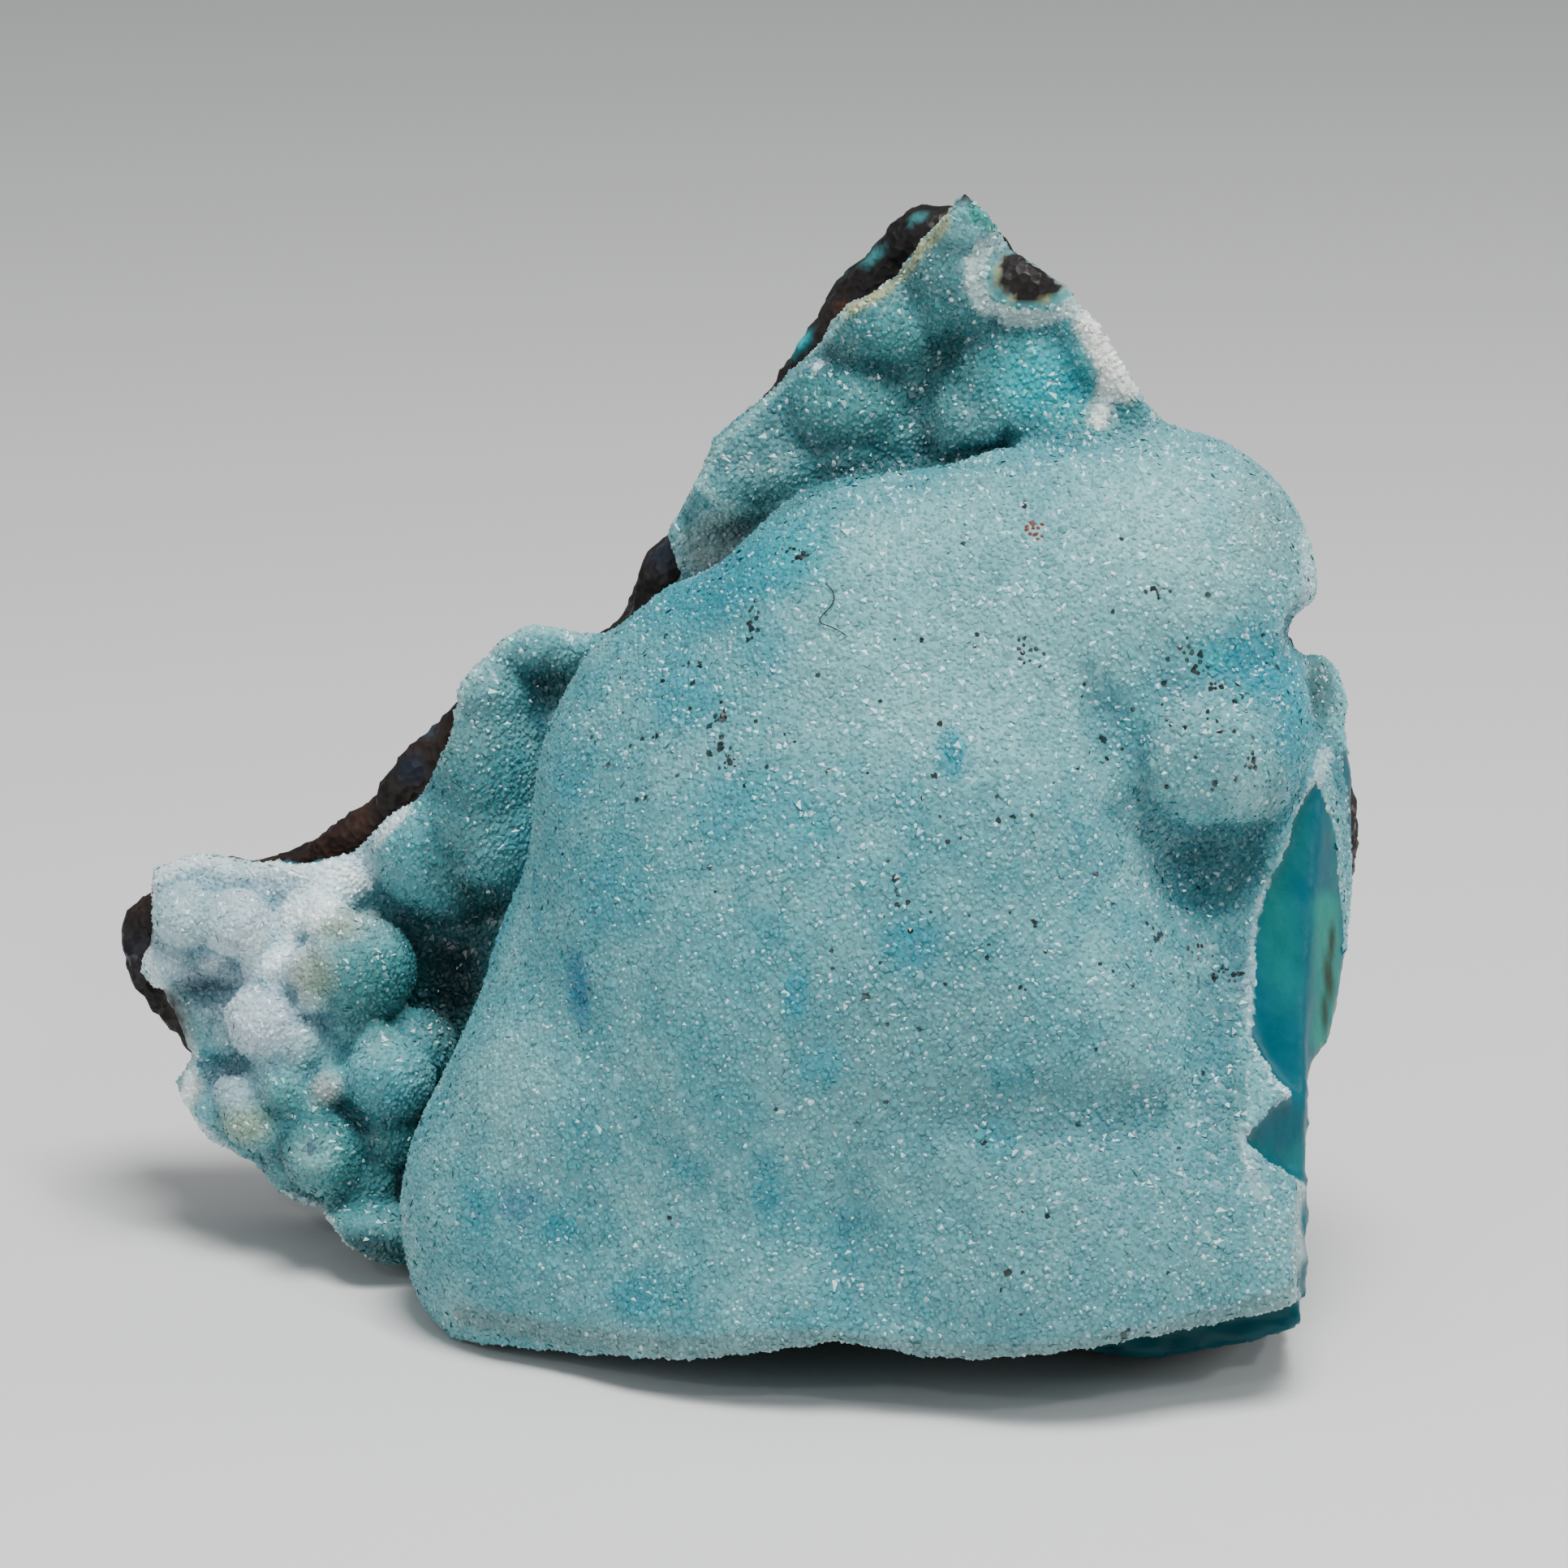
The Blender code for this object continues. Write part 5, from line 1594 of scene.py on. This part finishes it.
@dataclass
class GrainSet:
    """The quartz grains: small six-sided points, closed below, scattered evenly over the skin."""

    spacing: float = 0.165
    radius: float = 0.175
    height: float = 0.125
    sink: float = 0.035
    tilt: float = 0.252
    unevenness: float = 0.22
    tip_shift: float = 0.45
    kinds: int = 8
    candidates_for_each: float = 4.0
    pieces: int = 4

    def points(self) -> list[tuple[np.ndarray, np.ndarray]]:
        """Model the few kinds of crystal point, as vertices and triangles.

        Returns:
            The kinds, each as vertex positions and triangles.
        """
        kinds = []
        for number in range(self.kinds):
            chance = np.random.default_rng(SEED + number)
            shape = bmesh.new()
            bmesh.ops.create_cone(shape, cap_ends=True, segments=6, radius1=1.0, radius2=0.0, depth=1.0)
            shape.verts.ensure_lookup_table()
            for vert in shape.verts:
                vert.co.x *= 1.0 + self.unevenness * chance.uniform(-1.0, 1.0)
                vert.co.y *= 1.0 + self.unevenness * chance.uniform(-1.0, 1.0)
            tip = max(shape.verts, key=lambda vert: vert.co.z)
            tip.co.x += self.tip_shift * chance.uniform(-1.0, 1.0)
            tip.co.y += self.tip_shift * chance.uniform(-1.0, 1.0)
            bmesh.ops.translate(shape, verts=shape.verts, vec=(0.0, 0.0, 0.5))
            bmesh.ops.triangulate(shape, faces=shape.faces)
            vertices = np.array([vert.co[:] for vert in shape.verts])
            triangles = np.array([[vert.index for vert in face.verts] for face in shape.faces])
            kinds.append((vertices, triangles))
            shape.free()
        return kinds

    def scatter(self, crust: bpy.types.Object, wanted: np.ndarray,
                chance: np.random.Generator) -> tuple[np.ndarray, np.ndarray]:
        """Spread grain places evenly over an object.

        Args:
            crust: the object that carries the grains.
            wanted: for each of its triangles, whether grains grow there.
            chance: the source of random numbers.

        Returns:
            The places and their surface normals.
        """
        corners = triangles_of(crust)
        places = places_of(crust)
        normals = normals_of(crust)
        first, second, third = (places[corners[:, k]] for k in range(3))
        area = np.linalg.norm(np.cross(second - first, third - first), axis=1) / 2.0 * wanted
        count = int(area.sum() / (self.spacing * MM) ** 2 * self.candidates_for_each)
        chosen = chance.choice(len(area), size=count, p=area / area.sum())
        share = np.sqrt(chance.random(count))
        weight = np.stack((1.0 - share, share * (1.0 - chance.random(count)), np.zeros(count)), axis=1)
        weight[:, 2] = 1.0 - weight[:, 0] - weight[:, 1]
        spots = np.einsum("nk,nkd->nd", weight, places[corners[chosen]])
        leans = np.einsum("nk,nkd->nd", weight, normals[corners[chosen]])
        tree = KDTree(count)
        for index, spot in enumerate(spots):
            tree.insert(spot, index)
        tree.balance()
        free = np.ones(count, dtype=bool)
        kept = []
        for index in range(count):
            if free[index]:
                kept.append(index)
                for _, other, _ in tree.find_range(spots[index], self.spacing * MM):
                    free[other] = False
        kept = np.array(kept)
        return spots[kept], leans[kept] / np.linalg.norm(leans[kept], axis=1)[:, None]

    def build(self, name: str, spots: np.ndarray, leans: np.ndarray, sizes: np.ndarray,
              colours: np.ndarray, chance: np.random.Generator) -> bpy.types.Object:
        """Set a crystal point at each place and join them in one mesh.

        Args:
            name: name of the piece.
            spots: the places.
            leans: surface normal at each place.
            sizes: size of each point, 1 for the usual one.
            colours: linear colour of each point.
            chance: the source of random numbers.

        Returns:
            The joined grains.
        """
        count = len(spots)
        aims = leans + self.tilt * chance.normal(size=(count, 3))
        aims /= np.linalg.norm(aims, axis=1)[:, None]
        aside = np.cross(aims, chance.normal(size=(count, 3)))
        aside /= np.linalg.norm(aside, axis=1)[:, None]
        over = np.cross(aims, aside)
        kinds = self.points()
        kind_of = chance.integers(0, self.kinds, count)
        all_places, all_triangles, all_colours, start = [], [], [], 0
        for number, (vertices, triangles) in enumerate(kinds):
            members = np.flatnonzero(kind_of == number)
            wide = (sizes[members] * self.radius * MM)[:, None, None]
            tall = (sizes[members] * self.height * MM)[:, None, None]
            root = spots[members] - leans[members] * (self.sink * MM * sizes[members])[:, None]
            placed = (root[:, None, :]
                      + aside[members][:, None, :] * vertices[None, :, 0:1] * wide
                      + over[members][:, None, :] * vertices[None, :, 1:2] * wide
                      + aims[members][:, None, :] * vertices[None, :, 2:3] * tall)
            offsets = start + np.arange(len(members))[:, None, None] * len(vertices)
            all_places.append(placed.reshape(-1, 3))
            all_triangles.append((triangles[None, :, :] + offsets).reshape(-1, 3))
            all_colours.append(np.repeat(colours[members], len(vertices), axis=0))
            start += len(members) * len(vertices)
        places = np.concatenate(all_places)
        places[:, 2] = np.maximum(places[:, 2], 0.0)
        corners = np.concatenate(all_triangles)
        mesh = bpy.data.meshes.new(name)
        mesh.vertices.add(len(places))
        mesh.vertices.foreach_set("co", places.ravel())
        mesh.loops.add(corners.size)
        mesh.loops.foreach_set("vertex_index", corners.ravel())
        mesh.polygons.add(len(corners))
        mesh.polygons.foreach_set("loop_start", np.arange(0, corners.size, 3))
        mesh.update(calc_edges=True)
        item = bpy.data.objects.new(name, mesh)
        bpy.context.scene.collection.objects.link(item)
        paint(item, "tint", np.concatenate(all_colours))
        mesh.shade_flat()
        return item


@dataclass
class DustFibre:
    """A hair-thin fibre of dust that lies on the boss."""

    path: Outline = (
        (3.35, 28.45), (3.6, 28.2), (3.68, 27.9), (3.55, 27.6), (3.3, 27.35), (3.1, 27.1), (3.2, 26.95),
        (3.5, 26.85), (3.8, 26.7), (4.1, 26.5))
    half_thickness: float = 0.027
    lift: float = 0.13
    sides: int = 6
    steps: int = 8
    roundings: int = 3

    def rail(self, skin: BVHTree) -> list[Vector]:
        """Lay the path on the grains in short steps, and round its corners.

        Args:
            skin: the grown skin.

        Returns:
            Points along the fibre, in the part's frame.
        """
        outward = FACE.outward()
        rail = []
        for number in range(self.steps * (len(self.path) - 1) + 1):
            leg, step = divmod(number, self.steps)
            start = Vector(self.path[leg])
            end = Vector(self.path[min(leg + 1, len(self.path) - 1)])
            across, up = start.lerp(end, step / self.steps)
            begin = FACE.matrix() @ (Vector((across, up, REACH / 2.0)) * MM)
            rail.append(skin.ray_cast(begin, -outward)[0] + outward * (self.lift * MM))
        for _ in range(self.roundings):
            inner = [(a + b * 2.0 + c) / 4.0 for a, b, c in zip(rail, rail[1:], rail[2:])]
            rail = [rail[0], *inner, rail[-1]]
        return rail

    def build(self, skin: BVHTree) -> bpy.types.Object:
        """Draw the fibre as one closed tube.

        Args:
            skin: the grown skin.

        Returns:
            The fibre.
        """
        rail = self.rail(skin)
        shape = bmesh.new()
        loops = []
        for here, there in zip(rail, rail[1:] + [rail[-1] * 2.0 - rail[-2]]):
            turn = (there - here).to_track_quat("Z", "Y").to_matrix().to_4x4()
            ring = bmesh.ops.create_circle(
                shape, segments=self.sides, radius=self.half_thickness * MM,
                matrix=Matrix.Translation(here) @ turn)
            loops.append(list(dict.fromkeys(edge for vert in ring["verts"] for edge in vert.link_edges)))
        for before, after in zip(loops, loops[1:]):
            bmesh.ops.bridge_loops(shape, edges=before + after)
        rim = [edge for edge in shape.edges if edge.is_boundary]
        bmesh.ops.holes_fill(shape, edges=rim, sides=0)
        bmesh.ops.recalc_face_normals(shape, faces=shape.faces)
        return as_object("dust_fibre", shape)

    def dress(self, fibre: bpy.types.Object) -> None:
        """Give the fibre its finish."""
        fibre.data.materials.append(FibreFinish().make())
        finish_piece(fibre, CRUST_NODE)


@dataclass
class Skin:
    """The finished surface of the crust: layers where it is broken, and grains where it has grown."""

    model: Crust
    grown: bpy.types.Object
    tinting: Tinting = field(default_factory=Tinting)
    grains: GrainSet = field(default_factory=GrainSet)
    blend: float = 0.12
    fresh_depth: float = 1.4
    fresh_smoothness: float = 0.85
    coarse_rough: float = 0.16
    coarse_size: float = 0.9
    fine_rough: float = 0.10
    fine_size: float = 0.38
    rim_depth: float = 0.7
    rim_size: float = 0.8
    size_spread: float = 0.2
    light_spread: float = 0.08
    # Lift, sizes and whiteness of the grains painted white as sparkle, painted highlights.
    sparkle_lift: float = 0.02
    sparkle_sizes: tuple[float, float] = (0.4, 0.72)
    sparkle_blend: tuple[float, float] = (0.2, 0.7)
    speck_sizes: tuple[float, float] = (0.55, 0.9)
    speck_blend: tuple[float, float] = (0.85, 1.0)
    brightest: float = 0.95

    def __post_init__(self) -> None:
        """Read the grown skin."""
        self.tree = BVHTree.FromObject(self.grown, bpy.context.evaluated_depsgraph_get())
        self.relief = ReliefShading(self.grown)

    def breaks(self, places: np.ndarray) -> tuple[np.ndarray, np.ndarray, np.ndarray]:
        """Tell the broken surface from the grown skin.

        Args:
            places: places of the part's frame, in metres.

        Returns:
            For each place how far it is broken, from 0 to 1, its depth under the grown skin in
            millimetres, and how much it belongs to a fresh flake's floor.
        """
        grown_depth = self.model.grown_depth
        nearest = distance_to(self.tree, places)
        broken = smooth_step(nearest, grown_depth, grown_depth + self.blend)
        depth = np.where(broken > 0.5, np.maximum(nearest, depth_from_front(self.tree, places)), nearest)
        face_places = FACE.read(places)
        fresh = np.zeros(len(places))
        for flake in self.model.flakes:
            fresh = np.maximum(fresh, flake.cover(face_places) * (nearest > grown_depth))
        depth = np.maximum(depth, self.fresh_depth * fresh)
        broken = np.maximum(broken, fresh)
        for scoop in self.model.scoops:
            kept = scoop.holds(places)
            depth = np.where(kept, 0.0, depth)
            broken = np.where(kept, 0.0, broken)
        return broken, depth, fresh

    def roughen(self, crust: bpy.types.Object, broken: np.ndarray, fresh: np.ndarray) -> np.ndarray:
        """Roughen the broken surface, and less so the floors of fresh flakes.

        Args:
            crust: the crust.
            broken: how far each vertex is broken, from 0 to 1.
            fresh: how much each vertex belongs to a fresh flake's floor.

        Returns:
            The new places.
        """
        places = places_of(crust)
        rough = (self.coarse_rough * noise_at(places, self.coarse_size, 33.0)
                 + self.fine_rough * noise_at(places, self.fine_size, 44.0))
        foot = smooth_step(places[:, 2] / MM, 0.0, 0.5)
        push = rough * broken * (1.0 - self.fresh_smoothness * fresh) * foot * MM
        places = places + normals_of(crust) * push[:, None]
        places[:, 2] = np.maximum(places[:, 2], 0.0)
        move_to(crust, places)
        return places

    def lay_finishes(self, crust: bpy.types.Object, rock: bpy.types.Object, broken: np.ndarray,
                     shown_rock: np.ndarray) -> None:
        """Give each face the finish of what lies open there: massed quartz, chrysocolla or rock.

        Args:
            crust: the crust.
            rock: the host rock.
            broken: how far each vertex is broken, from 0 to 1.
            shown_rock: share of rock at each vertex.
        """
        crust.data.materials.clear()
        for finish in (BedFinish().make(), BreakFinish().make(), rock.data.materials[0]):
            crust.data.materials.append(finish)
        ends = np.empty(len(crust.data.loops), dtype=np.int64)
        crust.data.loops.foreach_get("vertex_index", ends)
        starts = np.empty(len(crust.data.polygons), dtype=np.int64)
        crust.data.polygons.foreach_get("loop_start", starts)
        counts = np.diff(np.append(starts, len(ends)))
        deep = np.add.reduceat(broken[ends], starts) / counts
        rocky = np.add.reduceat(shown_rock[ends], starts) / counts
        slots = np.where(rocky > 0.5, 2, (deep > 0.5).astype(np.int32)).astype(np.int32)
        crust.data.polygons.foreach_set("material_index", slots)

    def dress(self, crust: bpy.types.Object, rock: bpy.types.Object) -> np.ndarray:
        """Tint and finish the crust, and give which of its triangles carry grains.

        Args:
            crust: the crust.
            rock: the host rock.

        Returns:
            True for each triangle of the crust that carries grains.
        """
        broken, depth, fresh = self.breaks(places_of(crust))
        places = self.roughen(crust, broken, fresh)
        rock_tree = BVHTree.FromObject(rock, bpy.context.evaluated_depsgraph_get())
        layers = self.tinting.broken(places, depth, distance_to(rock_tree, places))
        # The relief adds painted shade in creases and painted light on bumps.
        colours = self.relief.shade(self.tinting.grown(places), places)
        paint(crust, "tint", colours + (layers - colours) * broken[:, None])
        self.lay_finishes(crust, rock, broken, self.tinting.rock_share(places))
        crust.data.shade_smooth()
        finish_piece(crust, CRUST_NODE)
        corners = triangles_of(crust)
        bare = self.tinting.bareness(places)[corners].mean(axis=1) >= 0.5
        return (depth[corners].mean(axis=1) < self.tinting.quartz_depth) & ~bare

    def grain_depths(self, spots: np.ndarray) -> np.ndarray:
        """How deep grains lie under the grown skin, in millimetres.

        Args:
            spots: places of the grains, in the part's frame.

        Returns:
            One depth for each grain.
        """
        depth = distance_to(self.tree, spots)
        behind = np.minimum(depth_from_front(self.tree, spots), self.rim_depth)
        depth = np.where(depth > self.model.grown_depth, np.maximum(depth, behind), depth)
        for scoop in self.model.scoops:
            depth = np.where(scoop.holds(spots), 0.0, depth)
        return depth

    def grain_tints(self, spots: np.ndarray, depth: np.ndarray) -> np.ndarray:
        """Colours of grains at their places: those of the skin, and of the layers along a rim.

        Args:
            spots: places of the grains, in the part's frame.
            depth: how deep each lies under the grown skin, in millimetres.

        Returns:
            One linear colour for each grain.
        """
        # The relief adds painted shade in creases and painted light on bumps.
        tint = self.relief.shade(self.tinting.grown(spots), spots)
        grown_depth = self.model.grown_depth
        rim = smooth_step(depth, grown_depth, grown_depth + self.blend)
        layers = self.tinting.broken(spots, depth, np.full(len(spots), REACH))
        return tint + (layers - tint) * rim[:, None]

    def grow(self, crust: bpy.types.Object, wanted: np.ndarray) -> None:
        """Cover the crust with grains, sprinkle in the white ones as painted sparkle and the dark ones,
        and finish them.

        Args:
            crust: the crust.
            wanted: for each of its triangles, whether grains grow there.
        """
        chance = np.random.default_rng(SEED)
        spots, leans = self.grains.scatter(crust, wanted, chance)
        face_spots = FACE.read(spots)
        count = len(spots)
        depth = self.grain_depths(spots)
        sizes = np.exp(chance.normal(0.0, self.size_spread, count))
        sizes *= np.where(depth > self.model.grown_depth, self.rim_size, 1.0)
        tint = self.grain_tints(spots, depth)
        tint[:, :3] *= np.exp(chance.normal(0.0, self.light_spread, count))[:, None]
        # White grains stand in for sparkle: painted highlights.
        painted_sparkle = chance.random(count) < self.tinting.sparkle_share(face_spots)
        sizes *= np.where(painted_sparkle, chance.uniform(*self.sparkle_sizes, count), 1.0)
        spots = spots + leans * (painted_sparkle * self.sparkle_lift * MM)[:, None]
        tint = blend_to(tint, Shade.SNOW_QUARTZ_AND_SPARKLE, painted_sparkle * chance.uniform(*self.sparkle_blend, count))
        for cluster in self.tinting.specks:
            speck = cluster.holds(face_spots) & (chance.random(count) < cluster.share)
            tint = blend_to(tint, cluster.shade, speck * chance.uniform(*self.speck_blend, count))
            sizes *= np.where(speck, chance.uniform(*self.speck_sizes, count), 1.0)
        tint = np.clip(tint, 0.0, self.brightest)
        tint[:, 3] = 1.0
        finish = GrainFinish().make()
        order = np.argsort(FACE.read(spots)[:, 1])
        for number, members in enumerate(np.array_split(order, self.grains.pieces)):
            piece = self.grains.build(f"quartz_grains_{number + 1}", spots[members], leans[members],
                                      sizes[members], tint[members], chance)
            piece.data.materials.append(finish)
            finish_piece(piece, CRUST_NODE)


# The studio

@dataclass
class Studio:
    """The plain studio: a pale floor, soft lamps and the camera at the photograph's angle."""

    elevation: float = math.radians(15.0)
    distance: float = 258.0
    focus: Point = (2.39, -9.416, 23.39)
    lens: float = 160.2
    sensor: float = 36.0
    nearest: float = 10.0
    floor_half_width: float = 3000.0
    sky: tuple[float, float, float, float] = (0.93, 0.96, 1.0, 1.0)
    sky_strength: float = 0.3
    # Each lamp's name, place in millimetres, power in watts and size in millimetres.
    lamps: tuple[tuple[str, Point, float, float], ...] = (
        ("top_softbox", (40.0, -90.0, 320.0), 1.5, 150.0),
        ("left_softbox", (-260.0, -220.0, 150.0), 0.17, 160.0),
        ("right_softbox", (320.0, -10.0, 130.0), 0.28, 130.0),
        ("right_glint", (170.0, -190.0, 220.0), 0.14, 20.0),
        ("left_glint", (-120.0, -240.0, 200.0), 0.06, 16.0))

    def aim(self) -> Vector:
        """The point that the camera looks at, in metres."""
        return Vector(self.focus) * MM

    def camera(self) -> None:
        """Set the camera up."""
        optics = bpy.data.cameras.new("camera")
        optics.lens = self.lens
        optics.sensor_width = self.sensor
        optics.clip_start = self.nearest * MM
        camera = bpy.data.objects.new("camera", optics)
        bpy.context.scene.collection.objects.link(camera)
        back = Vector((0.0, -math.cos(self.elevation), math.sin(self.elevation)))
        camera.location = self.aim() + back * (self.distance * MM)
        camera.rotation_euler = back.to_track_quat("Z", "Y").to_euler()
        bpy.context.scene.camera = camera

    def lamp(self, name: str, place: Point, power: float, size: float) -> None:
        """Hang one square soft lamp that looks at the specimen.

        Args:
            name: name of the lamp.
            place: its place in millimetres.
            power: its power in watts.
            size: its side in millimetres.
        """
        light = bpy.data.lights.new(name, "AREA")
        light.energy = power
        light.size = size * MM
        lamp = bpy.data.objects.new(name, light)
        bpy.context.scene.collection.objects.link(lamp)
        lamp.location = Vector(place) * MM
        lamp.rotation_euler = (self.aim() - lamp.location).to_track_quat("-Z", "Y").to_euler()

    def build(self) -> None:
        """Lay the floor, hang the lamps and set the camera."""
        shape = bmesh.new()
        bmesh.ops.create_grid(shape, x_segments=1, y_segments=1, size=self.floor_half_width * MM)
        floor = as_object("floor", shape)
        floor.data.materials.append(SweepFinish().make())
        world = bpy.data.worlds.new("studio")
        world.use_nodes = True
        backdrop = world.node_tree.nodes["Background"]
        backdrop.inputs["Color"].default_value = self.sky
        backdrop.inputs["Strength"].default_value = self.sky_strength
        bpy.context.scene.world = world
        for name, place, power, size in self.lamps:
            self.lamp(name, place, power, size)
        self.camera()


def main() -> None:
    """Build the specimen and its studio."""
    logging.basicConfig(level=logging.INFO, format="%(message)s")
    host = HostRock()
    rock = host.build()
    model = Crust()
    grown = model.grow(host)
    crust = model.break_edges(grown, host.seat(rock, model.seat_sink))
    host.dress(rock)
    skin = Skin(model, grown)
    wanted = skin.dress(crust, rock)
    fibre = DustFibre()
    fibre.dress(fibre.build(skin.tree))
    skin.grow(crust, wanted)
    discard(grown)
    Studio().build()


if __name__ == "__main__":
    main()
